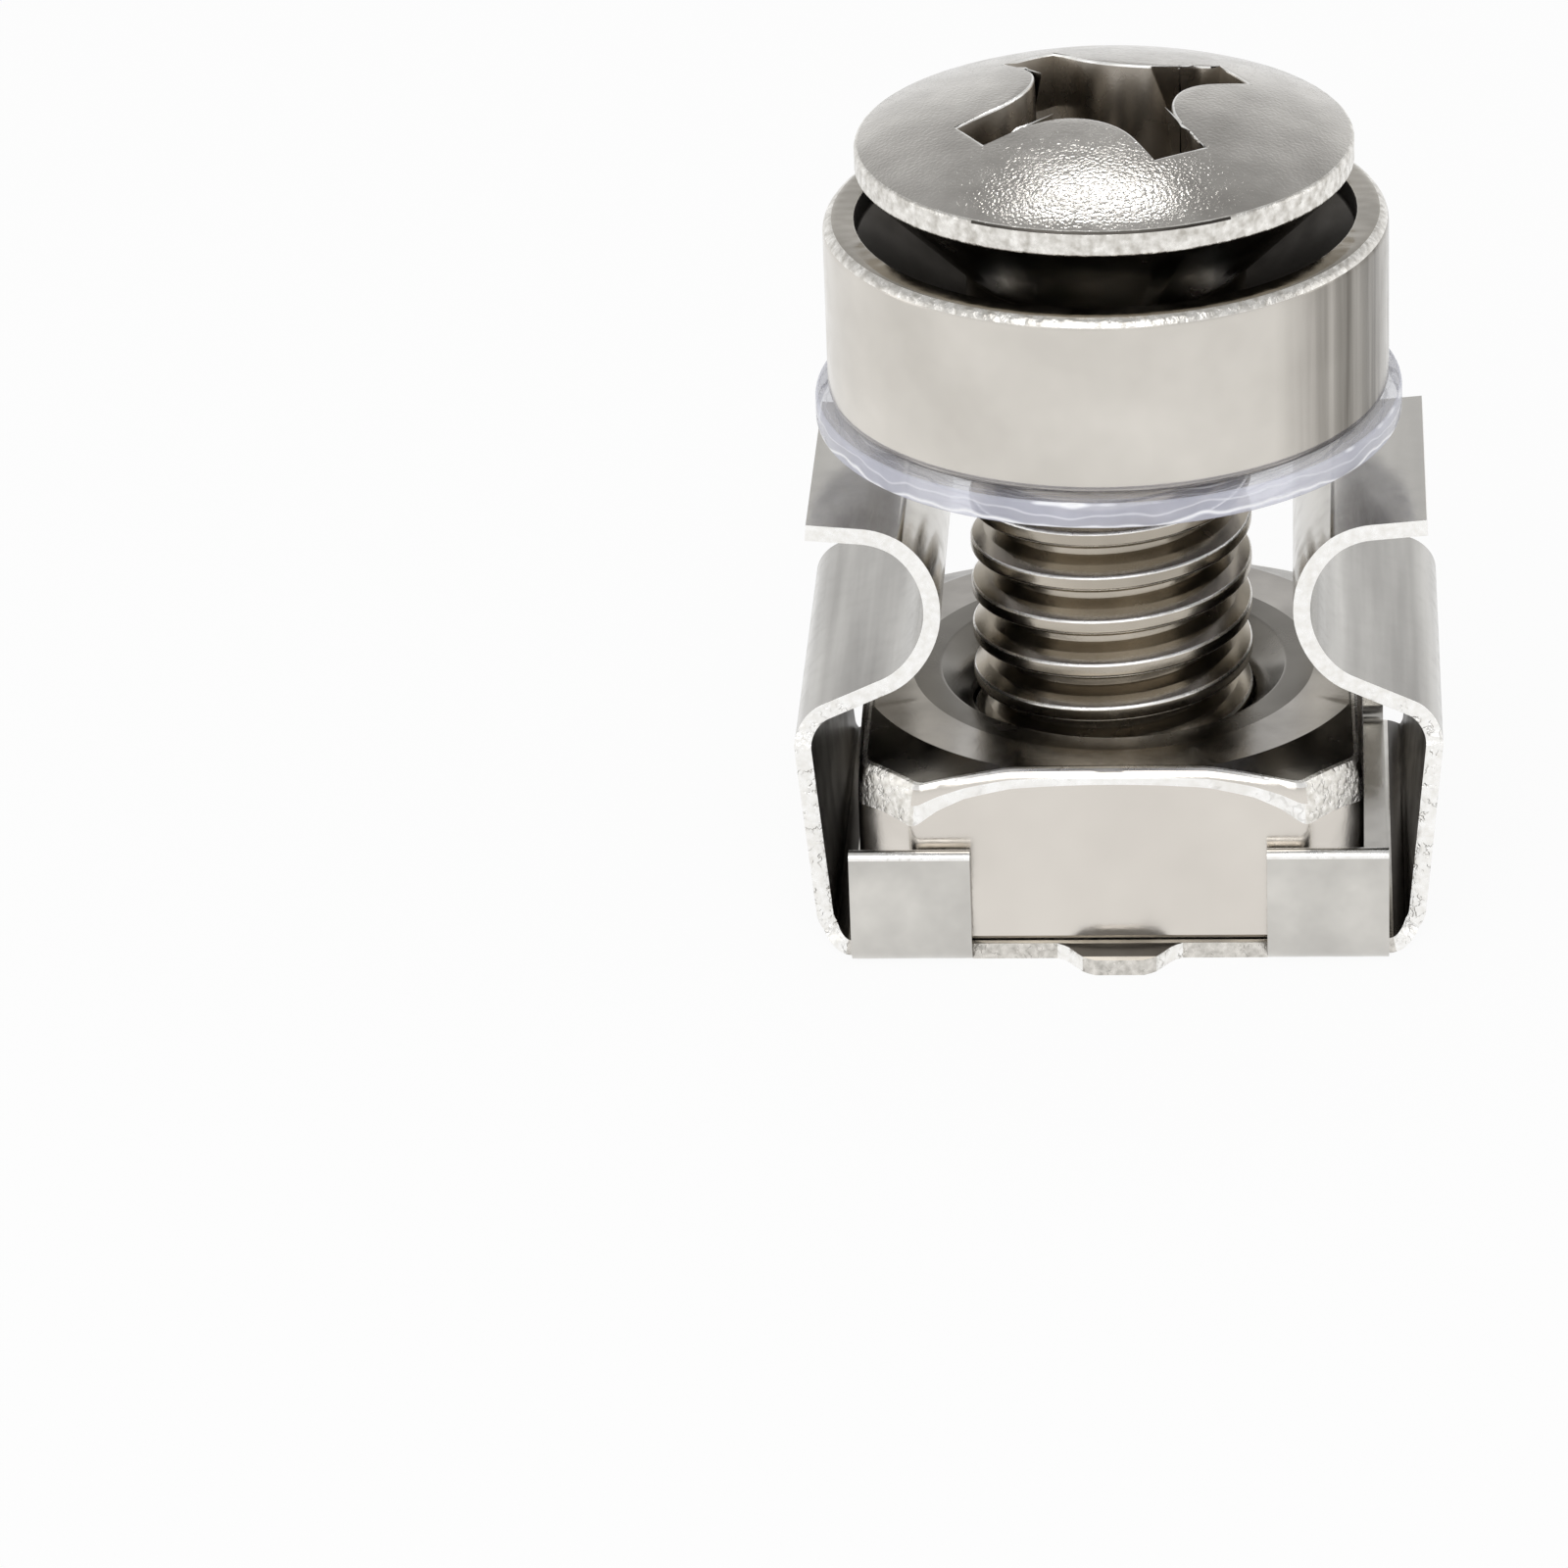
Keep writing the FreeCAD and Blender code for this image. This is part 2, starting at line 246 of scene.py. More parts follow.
    def piece(self, name: str, finishes: Sequence[Material], sharp_deg: float = 35.0) -> Piece:
        """Takes the piece off the bench as an object in metres, shaded smooth between sharp edges.

        Args:
            name: the object's name.
            finishes: its materials, in slot order.
            sharp_deg: the least angle that still shows as an edge.

        Returns:
            The new object, at the origin.
        """
        bmesh.ops.scale(self.bm, vec=(MM, MM, MM), verts=self.bm.verts[:])
        mesh = bpy.data.meshes.new(name)
        self.bm.to_mesh(mesh)
        self.bm.free()
        for finish in finishes:
            mesh.materials.append(finish)
        mesh.shade_smooth()
        mesh.set_sharp_from_angle(angle=math.radians(sharp_deg))
        return shown(name, mesh)


def shown(name: str, data: bpy.types.ID) -> Piece:
    """Puts an object with the given data in the scene."""
    made = bpy.data.objects.new(name, data)
    bpy.context.scene.collection.objects.link(made)
    return made


def rounded(corners: Sequence[Point], radius: float) -> list[Point]:
    """Rounds the inner corners of a drawn profile.

    Args:
        corners: the profile's (radius, height) corners.
        radius: the radius of every rounding.

    Returns:
        The profile's points.
    """
    points = [Vector(corner) for corner in corners]
    made = [points[0]]
    for before, here, after in zip(points, points[1:], points[2:]):
        back = (before - here).normalized()
        on = (after - here).normalized()
        half = back.angle(on) / 2
        centre = here + (back + on).normalized() * radius / math.sin(half)
        reach = radius / math.tan(half)
        first = (here + back * reach - centre).normalized()
        last = (here + on * reach - centre).normalized()
        shares = [i / ROUNDING_FLATS for i in range(ROUNDING_FLATS + 1)]
        made += [centre + first.slerp(last, share) * radius for share in shares]
    made.append(points[-1])
    return [(p.x, p.y) for p in made]


def read_off(profile: Sequence[Point], place: float) -> float:
    """The height of a drawn profile at a place along it."""
    for (low, first), (high, second) in zip(profile, profile[1:]):
        if place <= high:
            return first + (second - first) * (place - low) / (high - low)
    return profile[-1][1]


def reach_of(p: Vector) -> float:
    """A point's distance from the upright line through the origin."""
    return math.hypot(p.x, p.y)


def at_reach(p: Vector, reach: float, z: float) -> Vector:
    """A point taken straight out or in to another reach, and to a height."""
    now = reach_of(p)
    return Vector((p.x * reach / now, p.y * reach / now, z))


def to_circle(radius: float, z: float, inwards_only: bool = False) -> Move:
    """A move that takes points to a circle about the axis.

    Args:
        radius: the circle's radius.
        z: its height.
        inwards_only: whether points inside it keep their distance.

    Returns:
        The move.
    """

    def move(p: Vector) -> Vector:
        """Takes one point there."""
        scale = radius / reach_of(p)
        if inwards_only:
            scale = min(1.0, scale)
        return Vector((p.x * scale, p.y * scale, z))

    return move


def installed(piece: Piece, body: Body, node: str) -> Piece:
    """Levels a piece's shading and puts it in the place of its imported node.

    Args:
        piece: the piece.
        body: the body it rides on.
        node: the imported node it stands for.

    Returns:
        The piece.
    """
    weighted = piece.modifiers.new("flat_faces", "WEIGHTED_NORMAL")
    weighted.mode = "FACE_AREA"
    weighted.weight = 80
    weighted.keep_sharp = True
    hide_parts(node)
    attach(piece, body.value)
    return piece


Link = Union["Signal", float]


class Signal:
    """A shader socket that takes part in sums."""

    def __init__(self, board: "Board", socket: bpy.types.NodeSocket) -> None:
        """Holds the socket and the board it is on."""
        self.board = board
        self.socket = socket

    def _sum(self, operation: str, left: Link, right: Link) -> "Signal":
        """Adds one Math node for an operation on two links."""
        made = self.board.node("ShaderNodeMath", {"operation": operation}, {0: left, 1: right})
        return self.board.out(made)

    def __add__(self, other: Link) -> "Signal":
        """self + other."""
        return self._sum("ADD", self, other)

    __radd__ = __add__

    def __mul__(self, other: Link) -> "Signal":
        """self * other."""
        return self._sum("MULTIPLY", self, other)

    __rmul__ = __mul__

    def __sub__(self, other: Link) -> "Signal":
        """self - other."""
        return self._sum("SUBTRACT", self, other)

    def __rsub__(self, other: Link) -> "Signal":
        """other - self."""
        return self._sum("SUBTRACT", other, self)

    def folded(self, period: float) -> "Signal":
        """The signal run back and forth between 0 and 1 every period."""
        return self._sum("PINGPONG", self, period) * (1 / period)

    def most(self, other: Link) -> "Signal":
        """The larger of the two."""
        return self._sum("MAXIMUM", self, other)


class Board:
    """The node tree of one material or world."""

    def __init__(self, owner: Union[Material, bpy.types.World]) -> None:
        """Clears the owner's node tree and keeps it."""
        owner.use_nodes = True
        self.tree = owner.node_tree
        self.tree.nodes.clear()

    def node(
        self, kind: str, settings: Optional[Inputs] = None, inputs: Optional[Inputs] = None
    ) -> bpy.types.Node:
        """Adds a node.

        Args:
            kind: the node's type.
            settings: its own settings, set first; "stops" holds a ramp's (place, level) pairs.
            inputs: values or signals for its sockets, by name or number.

        Returns:
            The node.
        """
        made = self.tree.nodes.new(kind)
        for key, value in (settings or {}).items():
            if key == "stops":
                self._stops(made.color_ramp, value)
            else:
                setattr(made, key, value)
        for key, value in (inputs or {}).items():
            socket = made.inputs[key]
            if isinstance(value, Signal):
                self.tree.links.new(value.socket, socket)
            else:
                socket.default_value = value
        return made

    @staticmethod
    def _stops(ramp: bpy.types.ColorRamp, stops: Sequence[Point]) -> None:
        """Sets a ramp's stops from (place, grey level) pairs."""
        while len(ramp.elements) < len(stops):
            ramp.elements.new(1.0)
        for element, (place, level) in zip(ramp.elements, stops):
            element.position = place
            element.color = (level, level, level, 1.0)

    def out(self, node: bpy.types.Node, key: Key = 0) -> Signal:
        """One of a node's outputs as a signal."""
        return Signal(self, node.outputs[key])

    def vector_sum(self, operation: str, inputs: Inputs, key: Key = 0) -> Signal:
        """One operation on places; key is Value where it gives a number."""
        return self.out(self.node("ShaderNodeVectorMath", {"operation": operation}, inputs), key)

    def millimetres(self) -> Signal:
        """Object coordinates counted in millimetres."""
        place = self.out(self.node("ShaderNodeTexCoord"), "Object")
        return self.vector_sum("SCALE", {0: place, "Scale": 1 / MM})

    def along(self, place: Signal, axis: str) -> Signal:
        """One of a place's three coordinates."""
        return self.out(self.node("ShaderNodeSeparateXYZ", {}, {0: place}), axis)

    def squeezed(self, place: Signal, by: Spot) -> Signal:
        """A place with each coordinate multiplied."""
        return self.vector_sum("MULTIPLY", {0: place, 1: by})

    def noise(self, place: Signal, size_mm: float, detail: float) -> Signal:
        """Soft noise whose lumps are about size_mm across."""
        inputs = {"Vector": place, "Scale": 1 / size_mm, "Detail": detail, "Roughness": 0.5}
        return self.out(self.node("ShaderNodeTexNoise", {}, inputs))

    def graded(self, signal: Signal, stops: Sequence[Point]) -> Signal:
        """A signal put through a ramp of grey levels."""
        return self.out(self.node("ShaderNodeValToRGB", {"stops": stops}, {0: signal}))

    def blended(self, share: Link, first: Union[Signal, Colour], second: Colour) -> Signal:
        """Two colours mixed by a share."""
        start = first if isinstance(first, Signal) else (*first, 1.0)
        colour_a, colour_b, colour_out = 6, 7, 2
        inputs = {0: share, colour_a: start, colour_b: (*second, 1.0)}
        return self.out(self.node("ShaderNodeMix", {"data_type": "RGBA"}, inputs), colour_out)

    def bump(self, height: Signal, depth_mm: float, under: Optional[Signal] = None) -> Signal:
        """A bumped normal.

        Args:
            height: the height, from 0 to 1.
            depth_mm: how deep a height of 1 is.
            under: a normal that this bump adds to.

        Returns:
            The normal.
        """
        inputs: Inputs = {"Height": height, "Distance": depth_mm * MM, "Strength": 1.0}
        if under is not None:
            inputs["Normal"] = under
        return self.out(self.node("ShaderNodeBump", {}, inputs))

    def finish(self, surface: Signal, kind: str = "ShaderNodeOutputMaterial") -> None:
        """Joins a shader to the output."""
        self.node(kind, {}, {"Surface": surface})


@dataclass(frozen=True)
class Finish:
    """What every finish has: a name, and a shader whose sockets its kind sets."""

    name: str

    def sockets(self, board: Board, place: Signal) -> Inputs:
        """The shader's values and signals, from object coordinates in millimetres."""
        raise NotImplementedError

    def make(self) -> Material:
        """Builds the material."""
        material = bpy.data.materials.new(self.name)
        board = Board(material)
        inputs = self.sockets(board, board.millimetres())
        board.finish(board.out(board.node("ShaderNodeBsdfPrincipled", {}, inputs)))
        return material


@dataclass(frozen=True)
class NickelFinish(Finish):
    """Bright nickel plate: a faint colour drift, a soft ripple and a fine grain."""

    bright: Colour = (0.640, 0.612, 0.568)
    dull: Colour = (0.540, 0.515, 0.475)
    polish: float = 0.16
    haze: float = 0.10
    drift_mm: float = 2.4
    drift_stops: tuple[Point, ...] = ((0.25, 0.0), (0.75, 1.0))
    smear_share: float = 0.4
    smear_stops: tuple[Point, ...] = ((0.42, 0.0), (0.68, 1.0))
    ripple_mm: float = 0.9
    ripple_depth_mm: float = 0.006
    grain_mm: float = 0.07
    grain_depth_mm: float = 0.0012
    stretch: Spot = (1.0, 1.0, 1.0)

    def colour(self, board: Board, place: Signal) -> Signal:
        """The plate's colour, drifting between its two tones."""
        drift = board.noise(board.squeezed(place, self.stretch), self.drift_mm, 3.0)
        return board.blended(board.graded(drift, self.drift_stops), self.bright, self.dull)

    def sockets(self, board: Board, place: Signal) -> Inputs:
        """The plate's values and signals."""
        grain = board.noise(place, self.grain_mm, 1.0)
        ripple = board.noise(place, self.ripple_mm, 0.0)
        smears = board.noise(place, self.drift_mm * self.smear_share, 4.0)
        soft = board.bump(ripple, self.ripple_depth_mm)
        return {
            "Base Color": self.colour(board, place),
            "Metallic": 1.0,
            "Roughness": self.polish + board.graded(smears, self.smear_stops) * self.haze,
            "Normal": board.bump(grain, self.grain_depth_mm, soft),
        }


@dataclass(frozen=True)
class StreakedFinish(NickelFinish):
    """Nickel plate on a turned wall, with painted reflections: darker streaks down it near one
    side.
    """

    streak_from_mm: float = 3.3
    streak_to_mm: float = 5.60
    painted_streak: Colour = (0.085, 0.075, 0.06)
    streak_stops: tuple[Point, ...] = (
        (0.0, 0.0), (0.28, 0.36), (0.44, 0.66), (0.50, 0.50),
        (0.64, 0.92), (0.73, 0.62), (0.86, 0.95), (1.0, 0.55),
    )
    line_mm: float = 0.25
    line_stretch: Spot = (1.0, 1.0, 0.04)
    line_stops: tuple[Point, ...] = ((0.35, 0.75), (0.60, 1.0))

    def colour(self, board: Board, place: Signal) -> Signal:
        """The plate's colour, blended into the streaks."""
        span = self.streak_to_mm - self.streak_from_mm
        across = (board.along(place, "X") - self.streak_from_mm) * (1 / span)
        fine = board.noise(board.squeezed(place, self.line_stretch), self.line_mm, 2.0)
        share = board.graded(across, self.streak_stops) * board.graded(fine, self.line_stops)
        return board.blended(share, super().colour(board, place), self.painted_streak)


@dataclass(frozen=True)
class ShearedFinish(Finish):
    """The cut edge of plated strip: smooth, or with bright facets where the metal broke."""

    bright: Colour = (1.0, 0.995, 0.98)
    dull: Colour = (0.86, 0.84, 0.80)
    crack: Colour = (0.30, 0.28, 0.25)
    polish: float = 0.22
    haze: float = 0.12
    facet_mm: float = 0.15
    facet_depth_mm: float = 0.026
    facet_stops: tuple[Point, ...] = ((0.30, 0.0), (0.75, 1.0))
    fold_share: float = 1.3
    fold_stops: tuple[Point, ...] = ((0.455, 0.0), (0.490, 1.0), (0.505, 1.0), (0.540, 0.0))
    patch_share: float = 2.4
    patch_stops: tuple[Point, ...] = ((0.48, 0.0), (0.60, 1.0))
    smooth_above_mm: float = 5.6
    smooth_stops: tuple[Point, ...] = ((0.0, 0.10), (1.0, 1.0))
    cracks: float = 0.8

    def sockets(self, board: Board, place: Signal) -> Inputs:
        """The cut edge's values and signals."""
        below = self.smooth_above_mm - board.along(place, "Z")
        rough = board.graded(below, self.smooth_stops)
        lumps = board.noise(place, self.facet_mm, 3.0)
        folds = board.noise(place, self.facet_mm * self.fold_share, 2.0)
        patches = board.noise(place, self.facet_mm * self.patch_share, 2.0)
        lines = board.graded(folds, self.fold_stops) * board.graded(patches, self.patch_stops)
        lumpy = board.graded(lumps, self.facet_stops)
        plain = board.blended(lumpy, self.bright, self.dull)
        return {
            "Base Color": board.blended(lines * rough * self.cracks, plain, self.crack),
            "Metallic": 1.0,
            "Roughness": self.polish + lumps * self.haze,
            "Normal": board.bump((lumps - lines * self.cracks) * rough, self.facet_depth_mm),
        }


@dataclass(frozen=True)
class ClearPlasticFinish(Finish):
    """Clear, faintly lavender plastic with painted highlights: wavy bright lines round it."""

    tint: Colour = (0.50, 0.51, 0.61)
    milky: Colour = (0.70, 0.71, 0.81)
    bright: Colour = (1.0, 1.0, 1.0)
    body: float = 0.16
    cloud_body: float = 0.30
    line_body: float = 0.6
    polish: float = 0.08
    haze: float = 0.10
    cloud_mm: float = 1.3
    line_mm: float = 0.26
    line_depth_mm: float = 0.03
    line_share: float = 0.60
    line_stops: tuple[Point, ...] = ((0.0, 1.0), (0.22, 0.0), (0.86, 0.0), (1.0, 0.45))
    wave_mm: float = 1.1
    waviness_mm: float = 0.50

    def sockets(self, board: Board, place: Signal) -> Inputs:
        """The plastic's values and signals."""
        cloud = board.noise(place, self.cloud_mm, 3.0)
        about = board.vector_sum("ADD", {0: place, 1: (-AXIS_X, 0.0, 0.0)})
        flat = board.squeezed(about, (1.0, 1.0, 0.0))
        reach = board.vector_sum("LENGTH", {0: flat}, "Value")
        waves = board.noise(place, self.wave_mm, 1.0) * self.waviness_mm
        folded = (reach + board.along(place, "Z") + waves).folded(self.line_mm)
        share = board.graded(folded, self.line_stops) * self.line_share
        cloudy = board.blended(cloud, self.tint, self.milky)
        return {
            "Base Color": board.blended(share, cloudy, self.bright),
            "Roughness": self.polish + cloud * self.haze,
            "Alpha": self.body + cloud * self.cloud_body + share * self.line_body,
            "Normal": board.bump(folded, self.line_depth_mm),
        }


@dataclass
class SpringCage:
    """The folded spring steel cage: a base, four tabs, two nibs and two sprung wings."""

    sheet: float = 0.35
    wall_foot_x: float = 6.284
    wall_lean_deg: float = 5.4
    # How far above the shoulder the painted shade inside the walls reaches.
    wall_painted_shade_over: float = 0.3
    shoulder_height: float = 5.02
    slant_deg: float = 22.0
    groove_x: float = 3.98
    groove_top_z: float = 8.42
    lip_rise_deg: float = 5.0
    lip_reach_x: float = 6.40
    bend_radii: tuple[float, ...] = (0.75, 0.90, 1.40, 1.40)
    bend_least_flats: int = 8
    bend_flat_deg: float = 5.0
    side_steps: tuple[Point, ...] = (
        (-1.0, 5.11), (0.0, 5.10), (0.06, 4.99), (0.315, 4.55),
        (4.30, 4.28), (8.30, 3.15), (20.0, 3.15),
    )
    side_cuts_z: tuple[float, ...] = (0.315, 1.6, 3.0, 4.30, 8.30)
    base_rows_x: Spot = (4.3, 2.1, 0.6)
    base_top_z: float = 0.01
    foot_half: float = 5.11
    plate_half_y: float = 5.28
    nib_root_half: float = 1.18
    nib_tip_half: float = 0.66
    nib_reach: float = 0.76
    nib_soft: float = 0.22
    nib_root_flare: float = 0.12
    nib_tip_round: float = 0.16
    nib_column: float = 1.18
    nib_rows: int = 9
    # How far out from the base's edge the nibs' tops take the painted shade.
    nib_shade_reach: float = 0.62
    tab_inner_x: float = 3.06
    tab_outer_x: float = 5.57
    tab_height: float = 2.65
    tab_row_z: float = 1.6
    tab_face_y: float = 5.70
    tab_bend: float = 0.58
    tab_bend_flats: int = 10
    tab_bevel: float = 0.14
    hole_r: float = 3.50
    hole_flats: int = 72
    edge_wear: float = 0.035
    edge_least_deg: float = 40.0

    def wing_corners(self) -> list[Point]:
        """The outer side of the right wing as (x, z) corners, from the foot to the lip."""
        lean = math.tan(math.radians(self.wall_lean_deg))
        slant = math.tan(math.radians(self.slant_deg))
        rise = math.tan(math.radians(self.lip_rise_deg))
        shoulder_x = self.wall_foot_x + self.shoulder_height * lean
        groove_low_z = self.shoulder_height + (shoulder_x - self.groove_x) * slant
        lip_z = self.groove_top_z + (self.lip_reach_x - self.groove_x) * rise
        return [
            (self.wall_foot_x, 0.0),
            (shoulder_x, self.shoulder_height),
            (self.groove_x, groove_low_z),
            (self.groove_x, self.groove_top_z),
            (self.lip_reach_x, lip_z),
        ]

    def lay_strip(self, blank: Blank) -> None:
        """Lays the strip's outer side flat across, bends it and tapers its wings."""
        right = self.wing_corners()
        far, half_way, near = self.base_rows_x
        rows = [self.tab_outer_x, far, self.tab_inner_x, half_way, self.nib_column, near]
        middle = [(-x, 0.0) for x in rows] + [(0.0, 0.0)] + [(x, 0.0) for x in reversed(rows)]
        left = [(-x, z) for x, z in reversed(right)]
        chain = blank.line((x, -self.foot_half, z) for x, z in left + middle + right)
        blank.drawn_out(chain, lambda p: Vector((p.x, self.foot_half, p.z)))
        for i, radius in enumerate(self.bend_radii):
            x, z = right[i]
            before = right[i - 1] if i else (x - 1.0, 0.0)
            after = right[i + 1]
            into = Vector((x - before[0], z - before[1])).normalized()
            out = Vector((after[0] - x, after[1] - z)).normalized()
            turn = into.angle(out)
            cut = radius * math.tan(turn / 2)
            flats = max(self.bend_least_flats, round(math.degrees(turn) / self.bend_flat_deg))
            for side in (1.0, -1.0):
                bend = blank.where(lambda p: abs(p.x - side * x) < NEAR and abs(p.z - z) < NEAR)
                blank.eased(bend, cut, flats)
        for z in self.side_cuts_z:
            blank.cut_level(z)
        for vert in blank.bm.verts:
            if vert.co.z > FINE:
                vert.co.y = math.copysign(read_off(self.side_steps, vert.co.z), vert.co.y)

    def cut_hole(self, blank: Blank) -> None:
        """Opens the base's round hole by filling anew between it and the base's outline."""
        reach = self.tab_outer_x + NEAR

        def on_base(p: Vector) -> bool:
            """Whether a point lies on the flat base."""
            return abs(p.x) < reach and abs(p.z) < LEVEL

        base = [f for f in blank.bm.faces if all(on_base(v.co) for v in f.verts)]
        bmesh.ops.delete(blank.bm, geom=base, context="FACES_ONLY")
        inside = [
            e for e in blank.where(lambda p: abs(p.x) < reach - COARSE)
            if e.is_wire and abs(sum(v.co.y for v in e.verts)) < NEAR
        ]
        bmesh.ops.delete(blank.bm, geom=inside, context="EDGES")
        round_edge = bmesh.ops.create_circle(
            blank.bm, segments=self.hole_flats, radius=self.hole_r, cap_ends=False
        )
        bmesh.ops.translate(blank.bm, verts=round_edge["verts"], vec=(AXIS_X, 0, 0))
        rim = list({e for v in round_edge["verts"] for e in v.link_edges})
        edge_y = self.foot_half - NEAR
        outline = [
            e for e in blank.where(lambda p: on_base(p) and abs(p.y) > edge_y) if e not in rim
        ]
        bmesh.ops.triangle_fill(blank.bm, use_beauty=True, use_dissolve=False, edges=rim + outline)

    def edge_runs(self, blank: Blank, low: float, high: float, y: float) -> list[Edge]:
        """The edges along one long side of the base between two places across it."""
        return blank.where(
            lambda p: abs(p.y - y) < NEAR and abs(p.z) < LEVEL and low - NEAR < p.x < high + NEAR
        )

    def draw_tabs(self, blank: Blank) -> None:
        """Draws the four tabs out of the base, round their bends and up."""
        for side in (1.0, -1.0):
            for hand in (1.0, -1.0):
                low, high = sorted((hand * self.tab_inner_x, hand * self.tab_outer_x))
                row = self.edge_runs(blank, low, high, side * self.foot_half)
                for step in range(self.tab_bend_flats + 1):
                    angle = QUARTER * step / self.tab_bend_flats
                    y = self.tab_face_y - self.tab_bend * (1 - math.sin(angle))
                    z = self.tab_bend * (1 - math.cos(angle))
                    row = blank.drawn_out(row, lambda p: Vector((p.x, side * y, z)))
                for z in (self.tab_row_z, self.tab_height):
                    row = blank.drawn_out(row, lambda p: Vector((p.x, p.y, z)))

    def nib_half(self, reach: float) -> float:
        """Half the nib's width at a distance from the base's edge."""
        share = reach / self.nib_reach
        half = self.nib_root_half + (self.nib_tip_half - self.nib_root_half) * share
        near = max(0.0, 1 - reach / self.nib_soft) ** 2 * self.nib_root_flare
        far = max(0.0, 1 - (self.nib_reach - reach) / self.nib_soft) ** 2 * self.nib_tip_round
        return half + near - far

    def draw_nibs(self, blank: Blank) -> None:
        """Draws the base's free edges out, and a soft-cornered nib from each."""
        for side in (1.0, -1.0):
            edge_y = side * self.plate_half_y
            root = self.edge_runs(blank, -self.tab_inner_x, self.tab_inner_x, side * self.foot_half)
            blank.drawn_out(root, lambda p: Vector((p.x, edge_y, 0.0)))
            row = self.edge_runs(blank, -self.nib_column, self.nib_column, edge_y)
            held = self.nib_half(0.0)
            for vert in {v for e in row for v in e.verts}:
                vert.co.x *= held / self.nib_column
            for step in range(1, self.nib_rows + 1):
                reach = self.nib_reach * step / self.nib_rows
                scale = self.nib_half(reach) / held
                held = self.nib_half(reach)
                y = side * (self.plate_half_y + reach)
                row = blank.drawn_out(row, lambda p: Vector((p.x * scale, y, 0.0)))

    def build(self, finishes: Sequence[Material]) -> Piece:
        """Makes the cage and puts it in place.

        Args:
            finishes: for its inner side and tabs, its wings' outer side, both with partly painted
                reflection
            streaks, its cut edges, its base's cut edges, the painted shade inside its walls and on
            the nibs' tops, the painted shade on the tabs' own edges, and the painted highlight on
            their tops.

        Returns:
            The cage.
        """
        blank = Blank()
        self.lay_strip(blank)
        self.cut_hole(blank)
        self.draw_tabs(blank)
        self.draw_nibs(blank)
        blank.joined(NEAR)
        blank.faced_out()
        underneath = [f for f in blank.bm.faces if all(abs(v.co.z) < LEVEL for v in f.verts)]
        if sum(f.normal.z for f in underneath) > 0:
            bmesh.ops.reverse_faces(blank.bm, faces=blank.bm.faces[:])
        blank.bm.edges.layers.float.new("bevel_weight_edge")
        weight = blank.bm.edges.layers.float["bevel_weight_edge"]
        y, z = self.tab_face_y, self.tab_height
        for edge in blank.where(lambda p: abs(abs(p.y) - y) < NEAR and abs(p.z - z) < NEAR):
            edge[weight] = 1.0
        # Each part of the sheet has a slot as it is drawn, one for its other side and one for its
        # cut edge, with as many slots between them as there are parts.
        plate, outside, cut, dull, shade, painted_half_shade, bright = finishes
        # Painted shade: the walls' inner side and the nibs' tops take the near-black plate, and the
        # tabs' cut edges a half shade; the chamfered tab tops take a painted highlight.
        drawn = [outside, outside, plate, plate]
        other_side = [plate, shade, plate, plate]
        edges = [cut, cut, painted_half_shade, dull]
        _wings, walls, tabs, base = range(len(drawn))
        low, high = self.base_top_z, self.shoulder_height + self.wall_painted_shade_over
        blank.finished(base, 0, lambda p: p.z < low)
        # The walls up past the shoulder and the nibs' tops count as wall faces, and their other
        # side takes the painted shade.
        blank.finished(walls, 0, lambda p: abs(p.x) > self.tab_outer_x and low < p.z < high)
        blank.finished(
            walls, 0, lambda p: 0 < abs(p.y) - self.plate_half_y < self.nib_shade_reach and p.z < low
        )
        blank.finished(tabs, 0, lambda p: abs(p.y) > self.foot_half and p.z > low)
        made = blank.piece(
            "spring_cage", drawn + other_side + edges + [bright], self.edge_least_deg
        )
        wall = made.modifiers.new("sheet", "SOLIDIFY")
        wall.thickness = self.sheet * MM
        wall.offset = -1.0
        wall.use_even_offset = True
        wall.use_quality_normals = True
        wall.material_offset = len(drawn)
        wall.material_offset_rim = len(drawn + other_side)
        # The tabs' chamfered tops take the painted highlight.
        tops = made.modifiers.new("tab_tops", "BEVEL")
        tops.limit_method = "WEIGHT"
        tops.width = self.tab_bevel * MM
        tops.segments = 3
        tops.material = len(drawn + other_side + edges)
        worn = made.modifiers.new("worn_edges", "BEVEL")
        worn.limit_method = "ANGLE"
        worn.angle_limit = math.radians(self.edge_least_deg)
        worn.width = self.edge_wear * MM
        worn.segments = 2
        worn.use_clamp_overlap = True
        return installed(made, Body.ROOT, "cage")


